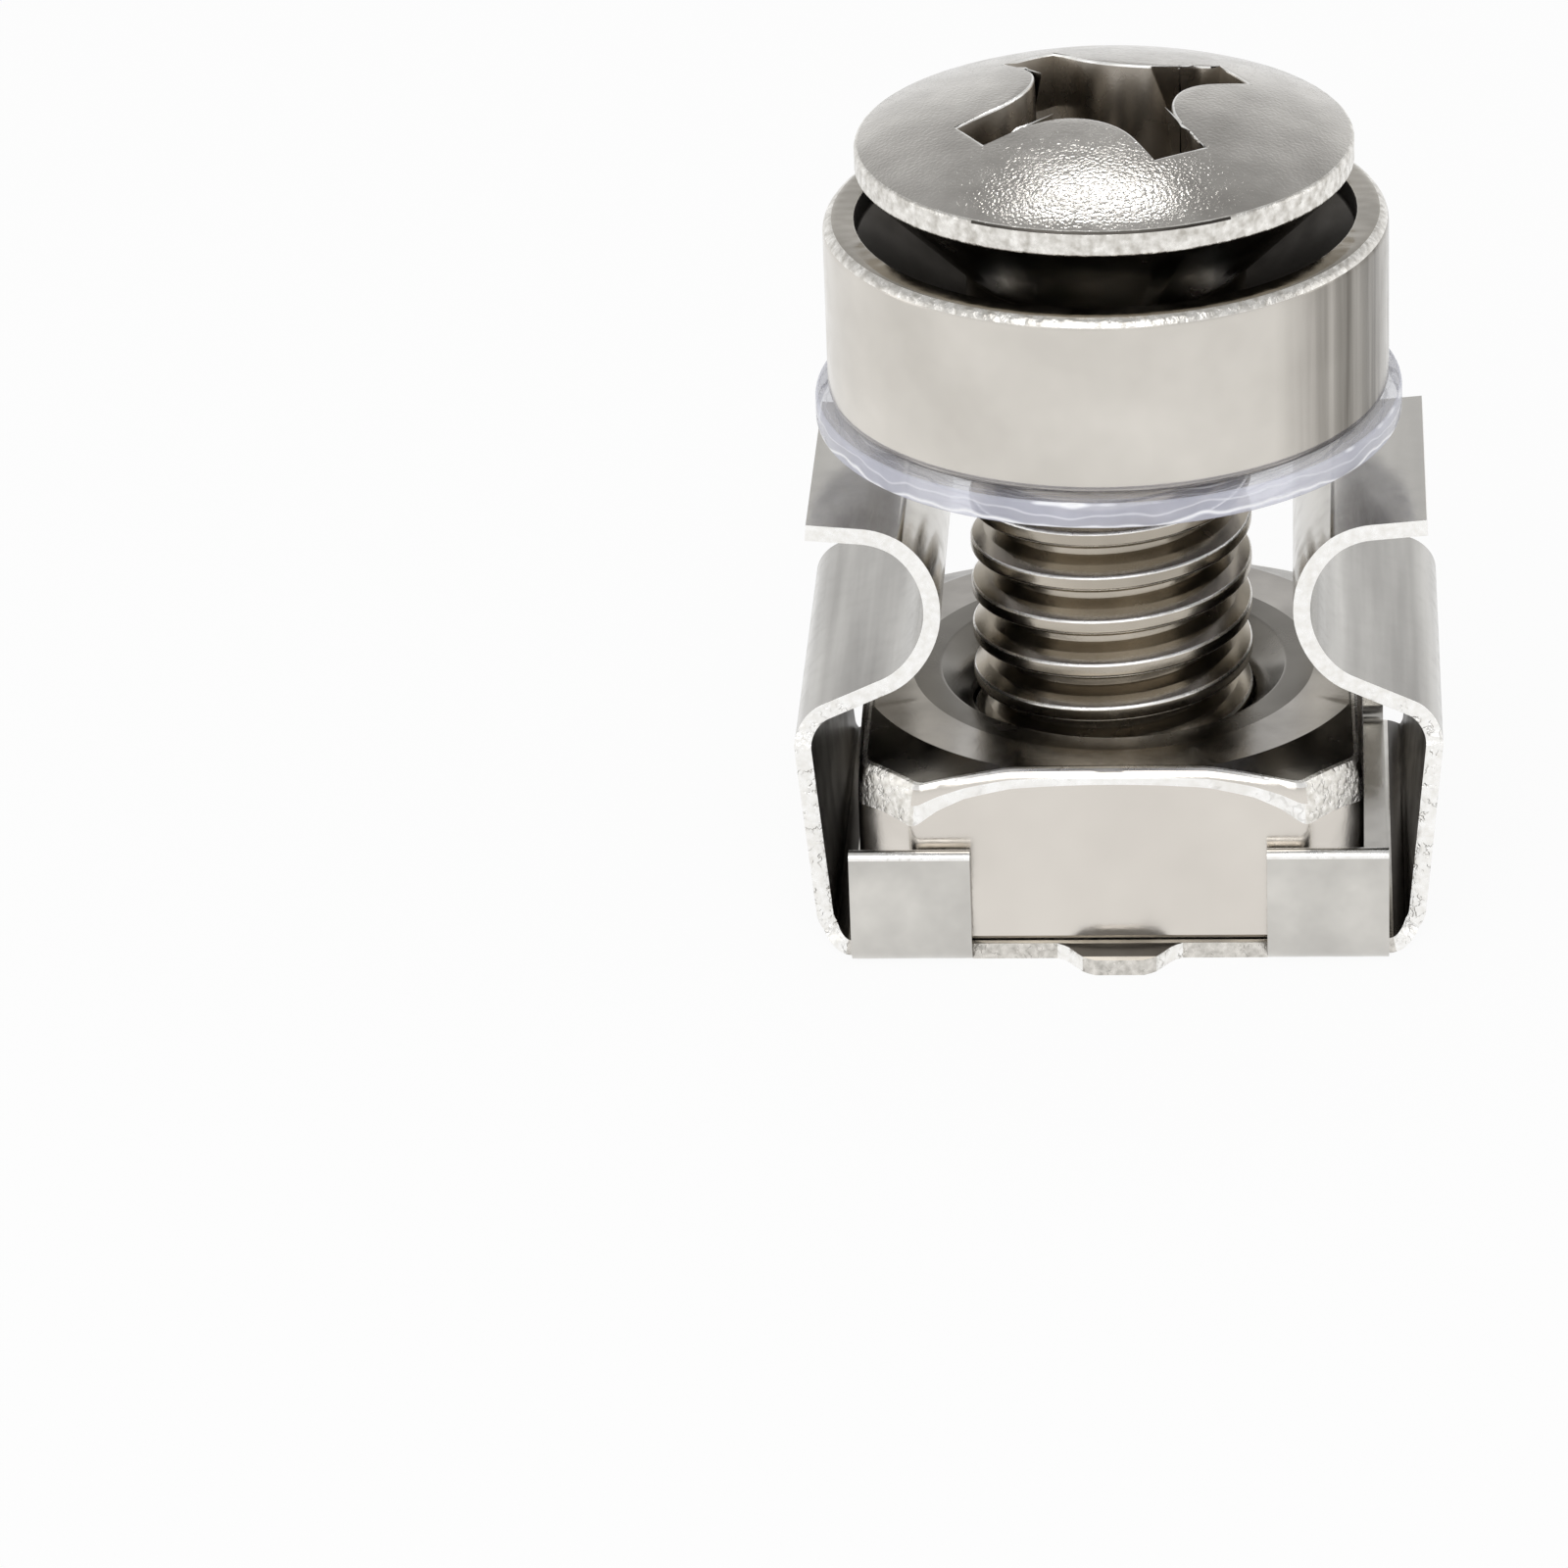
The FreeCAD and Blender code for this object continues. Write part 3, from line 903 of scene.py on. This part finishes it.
@dataclass
class SquareNut:
    """The square nut: flat corners, a rounded crown, a wide mouth and a bore."""

    side: float = 10.50
    side_cuts: int = 41
    side_least: float = 2.0
    height: float = 3.95
    corner: float = 1.19
    corner_round: float = 0.145
    corner_cuts: int = 7
    corner_least: float = 0.6
    crown_r: float = 5.40
    crown_deg: float = 20.0
    crown_step: float = 0.05
    edge_width: float = 0.26
    edge_flats: int = 6
    # The flats of each rounded edge that take the painted highlight lines.
    bright_flats: tuple[int, ...] = (0, 1, 4, 5)
    edge_drops: tuple[Point, ...] = (
        (5.25, 0.30), (5.62, 0.38), (6.04, 0.61), (6.35, 0.90), (6.66, 1.32),
    )
    mouth_r: float = 3.65
    mouth_ring: float = 0.6
    mouth_soft: float = 0.10
    bore_r: float = 3.00
    entry_depth: float = 0.35
    foot_bevel: float = 0.15
    seat_z: float = 0.37

    def outline(self, blank: Blank) -> list[Edge]:
        """Draws the nut's outline: a square with flat corners, its edges eased."""
        half = self.side / 2
        square = [(half, -half), (half, half), (-half, half), (-half, -half)]
        blank.line(((x, y, self.foot_bevel) for x, y in square), True)
        blank.eased(blank.bm.verts[:], self.corner, 1, "VERTICES")
        blank.eased(blank.bm.verts[:], self.corner_round, ROUNDING_FLATS, "VERTICES")
        for least, most, cuts in (
            (self.side_least, self.side, self.side_cuts),
            (self.corner_least, self.side_least, self.corner_cuts),
        ):
            flats = [e for e in blank.bm.edges if least < e.calc_length() < most]
            bmesh.ops.subdivide_edges(blank.bm, edges=flats, cuts=cuts)
        return blank.bm.edges[:]

    def crown_edge(self, last: float, share: float) -> Move:
        """A move along the rounded edge between a side face and the crown.

        Args:
            last: how far round the edge the row before lies, from 0 to 1.
            share: how far round the new row lies.

        Returns:
            The move.
        """
        slope = math.tan(math.radians(self.crown_deg))

        def inset(part: float) -> float:
            """How far in from the side face a place on the edge lies."""
            return self.edge_width * (1 - math.cos(QUARTER * part))

        def move(p: Vector) -> Vector:
            """Moves one point on."""
            side = reach_of(p) + inset(last)
            cone = max(0.0, side - self.edge_width - self.crown_r) * slope
            drop = read_off(self.edge_drops, side)
            z = self.height - drop + (drop - cone) * math.sin(QUARTER * share)
            return at_reach(p, side - inset(share), z)

        return move

    def build(self, finishes: Sequence[Material]) -> Piece:
        """Makes the nut and puts it in place.

        Args:
            finishes: for its plate, its rounded corners, the painted shade on the crown's corners
                and in
            the mouth, the two painted highlight lines along each rounded edge, and its round flat
            top.

        Returns:
            The nut.
        """
        # The slot worn holds the painted highlight lines, and dark holds the painted shade on the
        # crown's corners and in the mouth.
        plate, gritty, dark, worn, crown_flat = range(len(finishes))
        blank = Blank()
        outline = self.outline(blank)
        top = self.height
        inner = (self.side / 2 - self.foot_bevel) / (self.side / 2)
        foot = blank.drawn_out(outline, lambda p: Vector((p.x * inner, p.y * inner, 0.0)))
        row = blank.drawn_out(outline, self.crown_edge(0.0, 0.0))
        band = len(blank.bm.faces)
        for step in range(self.edge_flats):
            move = self.crown_edge(step / self.edge_flats, (step + 1) / self.edge_flats)
            row = blank.drawn_out(row, move, worn if step in self.bright_flats else plate)
        edge = self.side / 2 - self.corner
        blank.finished(gritty, band, lambda p: abs(p.x) > edge and abs(p.y) > edge)

        def to_flat(p: Vector) -> Vector:
            """Takes a point of the cone up to the flat top."""
            return at_reach(p, min(self.crown_r, reach_of(p) - self.crown_step), top)

        row = blank.drawn_out(row, to_flat, dark)
        corners = [
            (self.mouth_r + self.mouth_ring, top),
            (self.mouth_r, top),
            (self.bore_r, top - (self.mouth_r - self.bore_r)),
            (self.bore_r, self.entry_depth),
        ]
        for place, (radius, z) in enumerate(rounded(corners, self.mouth_soft)):
            row = blank.drawn_out(row, to_circle(radius, z), dark if place else crown_flat)
        entry = blank.drawn_out(row, to_circle(self.bore_r + self.entry_depth, 0.0))
        bmesh.ops.bridge_loops(blank.bm, edges=entry + foot)
        blank.cleaned()
        blank.moved(AXIS_X, self.seat_z)
        made = blank.piece("square_nut_body", finishes, sharp_deg=16.0)
        return installed(made, Body.ROOT, "square_nut")


@dataclass
class ShownScrew:
    """The raised countersunk screw: head, cross recess, neck and rolled thread."""

    crest_r: float = 2.95
    root_r: float = 2.40
    pitch: float = 1.00
    crest_half: float = 0.13
    mid_half: float = 0.31
    root_half: float = 0.43
    crest_soft: float = 0.09
    # The band of the crests' roundings that takes the painted highlight lines.
    crest_line: float = 0.075
    crest_tilts: Point = (-0.45, 0.16)
    turn_deg: float = 171.0
    tip_z: float = 0.22
    tip_chamfer: float = 0.55
    thread_top_z: float = 10.50
    neck_r: float = 2.89
    head_r: float = 5.12
    rim_low_z: float = 15.73
    rim_top_z: float = 16.22
    rim_soft: float = 0.11
    rim_width: float = 0.30
    dome_rise: float = 1.10
    dome_rings: int = 12
    recess_reach: float = 3.10
    recess_tip_half: float = 0.575
    recess_tip_cuts: int = 3
    recess_tip_least: float = 0.3
    recess_lean: float = 0.07
    lobe_corner: float = 0.55
    lobe_cut: float = 1.75
    lobe_flats: int = 18
    lobe_within: float = 1.5
    recess_turn_deg: float = 31.0
    recess_soft: float = 0.055
    recess_soft_flats: int = 2
    # A painted dark reflection line between dome and rim, across the head's front.
    painted_line_flats: int = 3
    painted_line_top_z: float = 16.235
    painted_line_front: float = 0.86
    wing_depth: float = 1.55
    core_depth: float = 2.90
    core_r: float = 0.95
    pit_rings: tuple[Point, ...] = ((0.855, 0.05), (0.4275, 0.4125))
    steps: int = 72

    def dome_z(self, reach: float) -> float:
        """The height of the head's top at a distance from the axis."""
        ball = (self.head_r ** 2 + self.dome_rise ** 2) / (2 * self.dome_rise)
        return self.rim_top_z + self.dome_rise - ball + math.sqrt(ball ** 2 - reach ** 2)

    def thread_section(self) -> list[Point]:
        """One pitch of the thread as (radius, height) points about the ridge's middle."""
        corners = [
            (self.root_r, self.root_half),
            ((self.root_r + self.crest_r) / 2, self.mid_half),
            (self.crest_r, self.crest_half),
            (self.crest_r, 0.0),
        ]
        flank = [(self.root_r, self.pitch / 2)] + rounded(corners, self.crest_soft)
        return [(r, -z) for r, z in flank] + [(r, z) for r, z in reversed(flank[:-1])]

    def thread(self, blank: Blank) -> None:
        """Rolls the thread as a helix, cuts it square at both ends and tapers its tip."""
        start = self.tip_z - self.pitch * (2 + self.turn_deg / 360)
        edges = blank.line((r, 0, start + z) for r, z in self.thread_section())
        turns = math.ceil((self.thread_top_z - start) / self.pitch) + 1
        bmesh.ops.spin(
            blank.bm,
            geom=blank.bm.verts[:] + edges,
            cent=(0, 0, 0),
            axis=(0, 0, 1),
            dvec=(0, 0, self.pitch / self.steps),
            angle=TURN * turns,
            steps=self.steps * turns,
            use_merge=False,
        )
        blank.joined(COARSE)
        for z, side in ((self.tip_z, -1), (self.thread_top_z, 1)):
            bmesh.ops.contextual_create(blank.bm, geom=blank.cut_level(z, side, True))
        for vert in blank.bm.verts:
            reach = reach_of(vert.co)
            limit = self.crest_r - self.tip_chamfer + (vert.co.z - self.tip_z)
            if reach > limit:
                vert.co.x *= limit / reach
                vert.co.y *= limit / reach
        blank.faced_out()
        # Painted highlight lines on the crests' corners; the rest of the thread takes the darker
        # shank plate as painted shade.
        down, up = self.crest_tilts
        for face in blank.bm.faces:
            outmost = reach_of(face.calc_center_median()) > self.crest_r - self.crest_line
            worn = outmost and not down <= face.normal.z <= up
            face.material_index = ScrewSlot.CREST if worn else ScrewSlot.SHANK

    def recess_outline(self, blank: Blank) -> list[Edge]:
        """Draws the cross recess's mouth: four straight arm ends joined by round lobes."""
        corners: list[Spot] = []
        for quarter in range(4):
            angle = math.radians(90 * quarter + self.recess_turn_deg)
            along = Vector((math.cos(angle), math.sin(angle), 0))
            across = Vector((-along.y, along.x, 0))
            for reach, side in (
                (self.recess_reach, -self.recess_tip_half),
                (self.recess_reach, self.recess_tip_half),
                (self.lobe_corner, self.lobe_corner),
            ):
                corners.append(tuple(along * reach + across * side))
        blank.line(corners, True)
        inner = [v for v in blank.bm.verts if v.co.length < self.lobe_within]
        blank.eased(inner, self.lobe_cut, self.lobe_flats, "VERTICES")
        straight = [e for e in blank.bm.edges if e.calc_length() > self.recess_tip_least]
        bmesh.ops.subdivide_edges(blank.bm, edges=straight, cuts=self.recess_tip_cuts)
        return blank.bm.edges[:]

    def outside(self, blank: Blank, mouth: list[Edge]) -> None:
        """Draws the dome, the rim, the countersink and the neck out from the recess's mouth."""
        edge_r = self.head_r - self.rim_width
        row = mouth
        for step in range(self.dome_rings):
            gain = 1 / (self.dome_rings - step)

            def outwards(p: Vector, gain: float = gain) -> Vector:
                """Takes a point part of its way out over the dome."""
                reach = reach_of(p)
                new = reach + (edge_r - reach) * gain
                return at_reach(p, new, self.dome_z(new))

            row = blank.drawn_out(row, outwards)
        corners = [
            (edge_r, self.dome_z(edge_r)),
            (self.head_r, self.rim_top_z),
            (self.head_r, self.rim_low_z),
            (self.neck_r, self.rim_low_z - (self.head_r - self.neck_r)),
            (self.neck_r, self.thread_top_z),
        ]
        # Across the front where the rim meets the dome, a painted dark reflection line; below the
        # rim the countersink and neck take the darker shank plate, a painted shade.
        painted_line_from = len(blank.bm.faces)
        front_y = -self.head_r * self.painted_line_front
        for place, (radius, z) in enumerate(rounded(corners, self.rim_soft)[1:]):
            slot = ScrewSlot.RIM if z > self.rim_low_z - self.rim_soft else ScrewSlot.SHANK
            row = blank.drawn_out(row, to_circle(radius, z), slot if place else ScrewSlot.PLATE)
            if place == self.painted_line_flats:
                blank.finished(
                    ScrewSlot.SHADE, painted_line_from, lambda p: p.y < front_y and p.z < self.painted_line_top_z
                )
        bmesh.ops.contextual_create(blank.bm, geom=row)

    def inside(self, blank: Blank, mouth: list[Edge]) -> None:
        """Draws the recess's walls and floor down from its mouth."""
        apex = self.rim_top_z + self.dome_rise
        floor_out = apex - self.wing_depth
        floor_in = apex - self.core_depth

        def down(p: Vector) -> Vector:
            """Takes a point of the mouth down the recess's wall, leaning in a little."""
            new = reach_of(p) - self.recess_lean
            share = min(1.0, max(0.0, (new - self.core_r) / (self.recess_reach - self.core_r)))
            return at_reach(p, new, floor_in + (floor_out - floor_in) * share)

        walls = len(blank.bm.faces)
        row = blank.drawn_out(mouth, down)
        for radius, depth in self.pit_rings:
            row = blank.drawn_out(row, to_circle(radius, floor_in - depth, True))
        bmesh.ops.contextual_create(blank.bm, geom=row)
        # Painted shade inside the recess.
        blank.finished(ScrewSlot.RECESS, walls)

    def build(self, finishes: Sequence[Material]) -> Piece:
        """Makes the screw and puts it in place.

        Args:
            finishes: for the slots that ScrewSlot lists: the head's plate, the painted shade inside
                the
            recess, the shank and countersink with painted shade, the painted highlight lines on the
            crests and the recess edge's wear with a painted highlight, the head's worn rim with
            painted reflections, and the painted dark reflection line between dome and rim.

        Returns:
            The screw.
        """
        blank = Blank()
        self.thread(blank)
        top = Blank()
        mouth = self.recess_outline(top)
        for vert in top.bm.verts:
            vert.co.z = self.dome_z(reach_of(vert.co))
        self.outside(top, mouth)
        self.inside(top, mouth)
        # The recess's rounded edge takes the crest slot: wear, partly a painted highlight.
        for face in top.eased(mouth, self.recess_soft, self.recess_soft_flats):
            face.material_index = ScrewSlot.CREST
        top.cleaned(FINE)
        spare = bpy.data.meshes.new("screw_head_blank")
        top.bm.to_mesh(spare)
        top.bm.free()
        blank.bm.from_mesh(spare)
        bpy.data.meshes.remove(spare)
        blank.moved(AXIS_X)
        made = blank.piece("cage_screw", finishes, sharp_deg=42.0)
        return installed(made, Body.SCREW, "screw")


@dataclass
class CupWasher:
    """The deep turned cup washer with its countersunk seat."""

    low_z: float = 10.76
    height: float = 3.88
    outer_r: float = 5.82
    edge_r: float = 0.30
    edge_flats: int = 8
    wall: float = 0.66
    hole_r: float = 3.20
    flush_drop: float = 0.52
    mouth_edge: float = 0.05
    mouth_flats: int = 3
    # The painted shade inside the cup stops this far short of its foot and its top.
    plain_foot: float = 0.1
    plain_top: float = 0.12
    # The rim's top takes a painted shade, and its outer corner a worn line with painted highlights.
    rim_share: float = 0.6
    wear_highlight_share: float = 0.12
    wear_highlight_reach: float = 0.9

    def build(self, finishes: Sequence[Material]) -> Piece:
        """Makes the cup washer and puts it in place.

        Args:
            finishes: for its plate, the painted shade inside, the painted shade on its rim's top,
                and the
            worn line round the rim with its painted highlights.

        Returns:
            The cup washer.
        """
        _plate, seat_shade_slot, rim_slot, wear_and_highlight_slot = range(len(finishes))
        blank = Blank()
        mouth_r = self.outer_r - self.wall
        top = self.low_z + self.height
        seat = top - self.flush_drop
        corners = [
            (self.hole_r, self.low_z),
            (self.outer_r, self.low_z),
            (self.outer_r, top),
            (mouth_r, top),
            (mouth_r, seat),
            (self.hole_r, seat - (mouth_r - self.hole_r)),
        ]
        blank.line(((r, 0, z) for r, z in corners), True)
        outer = [v for v in blank.bm.verts if v.co.x > self.outer_r - NEAR]
        rest = [v for v in blank.bm.verts if v not in outer]
        blank.eased(outer, self.edge_r, self.edge_flats, "VERTICES")
        blank.eased(rest, self.mouth_edge, self.mouth_flats, "VERTICES")
        blank.turned()
        # Painted shade on the seat inside the cup and on the rim's top; painted highlights on the
        # worn line round its outer corner.
        for face in blank.bm.faces:
            middle = face.calc_center_median()
            inside = math.hypot(middle.x - AXIS_X, middle.y) < mouth_r + COARSE
            if inside and self.low_z + self.plain_foot < middle.z < top - self.plain_top:
                face.material_index = seat_shade_slot
            elif middle.z > top - self.edge_r * self.rim_share and not inside:
                corner = middle.z < top - self.edge_r * self.wear_highlight_share
                worn = corner and reach_of(middle) > self.outer_r * self.wear_highlight_reach
                face.material_index = wear_and_highlight_slot if worn else rim_slot
        made = blank.piece("cup_washer_turned", finishes, sharp_deg=50.0)
        return installed(made, Body.WASHERS, "cup_washer")


@dataclass
class ClearWasher:
    """The thin clear retaining washer that grips the thread."""

    low_z: float = 10.20
    thick: float = 0.55
    outer_r: float = 6.09
    hole_r: float = 2.98
    edge: float = 0.06
    edge_flats: int = 3

    def build(self, finishes: Sequence[Material]) -> Piece:
        """Makes the clear washer and puts it in place.

        Args:
            finishes: for its plastic, and the milkier plastic of its cut rim, with stronger painted
            highlight lines.

        Returns:
            The clear washer.
        """
        _plastic, rim_slot = range(len(finishes))
        blank = Blank()
        top = self.low_z + self.thick
        corners = [
            (self.hole_r, self.low_z),
            (self.outer_r, self.low_z),
            (self.outer_r, top),
            (self.hole_r, top),
        ]
        blank.line(((r, 0, z) for r, z in corners), True)
        outer = [v for v in blank.bm.verts if v.co.x > self.outer_r - NEAR]
        blank.eased(outer, self.edge, self.edge_flats, "VERTICES")
        blank.turned()
        for face in blank.bm.faces:
            middle = face.calc_center_median()
            if math.hypot(middle.x - AXIS_X, middle.y) > self.outer_r - self.edge:
                face.material_index = rim_slot
        made = blank.piece("clear_retaining_washer", finishes, sharp_deg=50.0)
        return installed(made, Body.WASHERS, "clear_washer")


@dataclass(frozen=True)
class Lamp:
    """One soft box."""

    name: str
    place_mm: Spot
    size_mm: Point
    watts: float


@dataclass
class Studio:
    """A plain white sweep, soft boxes and the camera of the photograph."""

    lamps: tuple[Lamp, ...] = (
        Lamp("top_box", (-8, 88, 176), (58, 22), 0.021),
        Lamp("front_box", (-20, -150, 165), (230, 190), 0.21),
        Lamp("left_box", (-190, -20, 90), (60, 150), 0.020),
        Lamp("right_box", (190, 10, 90), (60, 150), 0.020),
    )
    sky_stops: tuple[Point, ...] = (
        (0.0, 1.0), (0.56, 0.95), (0.72, 0.70), (0.84, 0.52), (1.0, 0.48),
    )
    floor_half_mm: float = 2000.0
    paper: float = 0.80
    paper_glow: float = 0.93
    aim_mm: Spot = (0.0, 0.0, 9.0)
    aim_px: Point = (1141.0, 468.0)
    frame_px: float = 1600.0
    focal_px: float = 7606.0
    distance_mm: float = 156.0
    azimuth_deg: float = 1.56
    elevation_deg: float = 24.3
    roll_deg: float = -1.1

    def light(self) -> None:
        """Hangs the soft boxes and sets the world."""
        for lamp in self.lamps:
            data = bpy.data.lights.new(lamp.name, "AREA")
            data.shape = "RECTANGLE"
            data.size, data.size_y = (s * MM for s in lamp.size_mm)
            data.energy = lamp.watts
            box = shown(lamp.name, data)
            box.location = Vector(lamp.place_mm) * MM
            towards = Vector(self.aim_mm) * MM - box.location
            box.rotation_euler = towards.to_track_quat("-Z", "Y").to_euler()
            box.visible_camera = False
        world = bpy.data.worlds.new("studio")
        bpy.context.scene.world = world
        board = Board(world)
        ray = board.node("ShaderNodeLightPath")
        place = board.out(board.node("ShaderNodeTexCoord"), "Generated")
        level = board.graded(board.along(place, "Z") * 0.5 + 0.5, self.sky_stops)
        seen = board.out(ray, "Is Camera Ray").most(board.out(ray, "Is Transmission Ray"))
        inputs = {"Color": (1, 1, 1, 1), "Strength": seen + (1 - seen) * level}
        sky = board.node("ShaderNodeBackground", {}, inputs)
        board.finish(board.out(sky), "ShaderNodeOutputWorld")

    def floor(self) -> None:
        """Lays the white floor, which keeps the object's shadow."""
        blank = Blank()
        bmesh.ops.create_grid(blank.bm, x_segments=1, y_segments=1, size=self.floor_half_mm)
        material = bpy.data.materials.new("white_sweep")
        board = Board(material)
        ray = board.node("ShaderNodeLightPath")
        seen = board.out(ray, "Is Camera Ray").most(board.out(ray, "Is Glossy Ray"))
        seen = seen.most(board.out(ray, "Is Transmission Ray"))
        grey = (self.paper, self.paper, self.paper, 1)
        paper = board.out(board.node("ShaderNodeBsdfDiffuse", {}, {"Color": grey}))
        white = {"Color": (1, 1, 1, 1), "Strength": 1.0}
        glow = board.out(board.node("ShaderNodeEmission", {}, white))
        inputs = {0: seen * self.paper_glow, 1: paper, 2: glow}
        board.finish(board.out(board.node("ShaderNodeMixShader", {}, inputs)))
        blank.piece("floor", [material])

    def camera(self) -> None:
        """Sets up the camera so that the aim point falls on its pixel of the photograph."""
        data = bpy.data.cameras.new("camera")
        data.sensor_width = 36.0
        data.lens = self.focal_px / self.frame_px * data.sensor_width
        data.clip_start = 0.002
        data.clip_end = 20.0
        around = math.radians(self.azimuth_deg)
        above = math.radians(self.elevation_deg)
        back = Vector((
            math.sin(around) * math.cos(above),
            -math.cos(around) * math.cos(above),
            math.sin(above),
        ))
        half = self.frame_px / 2
        off = Vector((self.aim_px[0] - half, half - self.aim_px[1], -self.focal_px)).normalized()
        turn = Vector((0, 0, -1)).rotation_difference(off)
        roll = Quaternion((0, 0, 1), math.radians(self.roll_deg))
        made = shown("camera", data)
        made.rotation_mode = "QUATERNION"
        made.location = (Vector(self.aim_mm) + back * self.distance_mm) * MM
        made.rotation_quaternion = (-back).to_track_quat("-Z", "Y") @ roll @ turn.inverted()
        bpy.context.scene.camera = made

    def build(self) -> None:
        """Sets the view transform and puts up the whole studio."""
        bpy.context.scene.view_settings.view_transform = "Standard"
        self.light()
        self.floor()
        self.camera()


def main() -> None:
    """Builds the studio and every piece in order, and reports each."""
    logging.basicConfig(level=logging.INFO, format="%(name)s: %(message)s")
    Studio().build()
    # The stretched colour drift on the strip and the wings is partly random tone and partly painted
    # reflection streaks.
    strip = NickelFinish(
        "nickel_strip_plate_painted_streaks", (0.70, 0.68, 0.64), (0.51, 0.495, 0.468),
        drift_mm=1.3, stretch=(1.0, 0.08, 1.0),
    ).make()
    outside = NickelFinish(
        "nickel_wing_plate_painted_streaks", (0.66, 0.645, 0.615), (0.28, 0.272, 0.256),
        drift_mm=0.8, stretch=(1.0, 0.05, 1.0),
    ).make()
    nut = NickelFinish("nickel_nut_plate", (0.74, 0.70, 0.645), (0.67, 0.63, 0.58)).make()
    nut_top = NickelFinish(
        "nickel_nut_top", (0.60, 0.573, 0.535), (0.34, 0.324, 0.30), drift_mm=1.8
    ).make()
    sheared = ShearedFinish("sheared_strip_edge", cracks=0.45).make()
    dull = ShearedFinish(
        "dull_base_edge", (0.80, 0.77, 0.72), (0.46, 0.44, 0.405), cracks=0.30
    ).make()
    # Painted shade: a near-black plate for the walls' inside, the nibs' tops, the cup's seat and a
    # dark reflection line on the screw head.
    shade = NickelFinish("shaded_plate", (0.10, 0.092, 0.082), (0.05, 0.045, 0.04), 0.28).make()
    # Painted half shade on the nut's crown corners and mouth and on the tabs' cut edges.
    painted_half_shade = NickelFinish("crown_corner_painted_shade", (0.26, 0.245, 0.22), (0.15, 0.14, 0.125), 0.20).make()
    # Painted shade: a darker plate for the thread, neck and countersink.
    rolled = NickelFinish(
        "thread_plate_painted_shade", (0.56, 0.51, 0.435), (0.34, 0.307, 0.257), 0.18
    ).make()
    # Mostly painted highlight, partly wear: the white lines on the tabs' tops, the nut's rounded
    # edges, the thread's crests and the recess edge.
    worn = ShearedFinish(
        "worn_corner_painted_highlight",
        facet_mm=0.30, facet_depth_mm=0.008, smooth_above_mm=ABOVE_ALL_MM, cracks=0.25,
    ).make()
    gritty = ShearedFinish(
        "gritty_rounded_corner", (1.0, 0.98, 0.94), (0.66, 0.63, 0.57),
        facet_mm=0.14, smooth_above_mm=ABOVE_ALL_MM, cracks=0.15,
    ).make()
    # Worn rims whose bright and dark lumps are partly painted highlights and reflections.
    rough_rim_and_highlight = ShearedFinish(
        "worn_rim_painted_highlight", (0.96, 0.94, 0.90), (0.50, 0.475, 0.43),
        facet_mm=0.19, facet_depth_mm=0.040, smooth_above_mm=ABOVE_ALL_MM, cracks=0.0,
    ).make()
    # Painted shade: a darker copy of the cup's plate on its rim's top, with a lumpy ripple.
    lumpy = NickelFinish(
        "lumpy_rim_painted_shade", (0.48, 0.45, 0.40), (0.30, 0.282, 0.25),
        ripple_mm=0.30, ripple_depth_mm=0.012,
    ).make()
    grainy = NickelFinish(
        "nickel_screw_plate", (0.66, 0.638, 0.60), (0.42, 0.402, 0.375),
        drift_mm=1.5, polish=0.13, grain_mm=0.075, grain_depth_mm=0.011,
    ).make()
    # Painted shade inside the cross recess.
    recess = NickelFinish("recess_painted_shade_plate", (0.50, 0.455, 0.40), (0.22, 0.20, 0.17), 0.26).make()
    cup = StreakedFinish("nickel_cup_plate_painted_reflections", (0.72, 0.687, 0.635), (0.58, 0.55, 0.505)).make()
    clear = ClearPlasticFinish("clear_lavender_plastic_painted_highlights").make()
    milky = ClearPlasticFinish(
        "milky_washer_rim_painted_highlights", (0.56, 0.57, 0.68), (0.74, 0.75, 0.85), body=0.46, line_share=0.85
    ).make()
    pieces = [
        SpringCage().build([strip, outside, sheared, dull, shade, painted_half_shade, worn]),
        SquareNut().build([nut, gritty, painted_half_shade, worn, nut_top]),
        ShownScrew().build([grainy, recess, rolled, worn, rough_rim_and_highlight, shade]),
        CupWasher().build([cup, shade, lumpy, rough_rim_and_highlight]),
        ClearWasher().build([clear, milky]),
    ]
    for piece in pieces:
        log.info("%s: %d faces before modifiers", piece.name, len(piece.data.polygons))


if __name__ == "__main__":
    main()
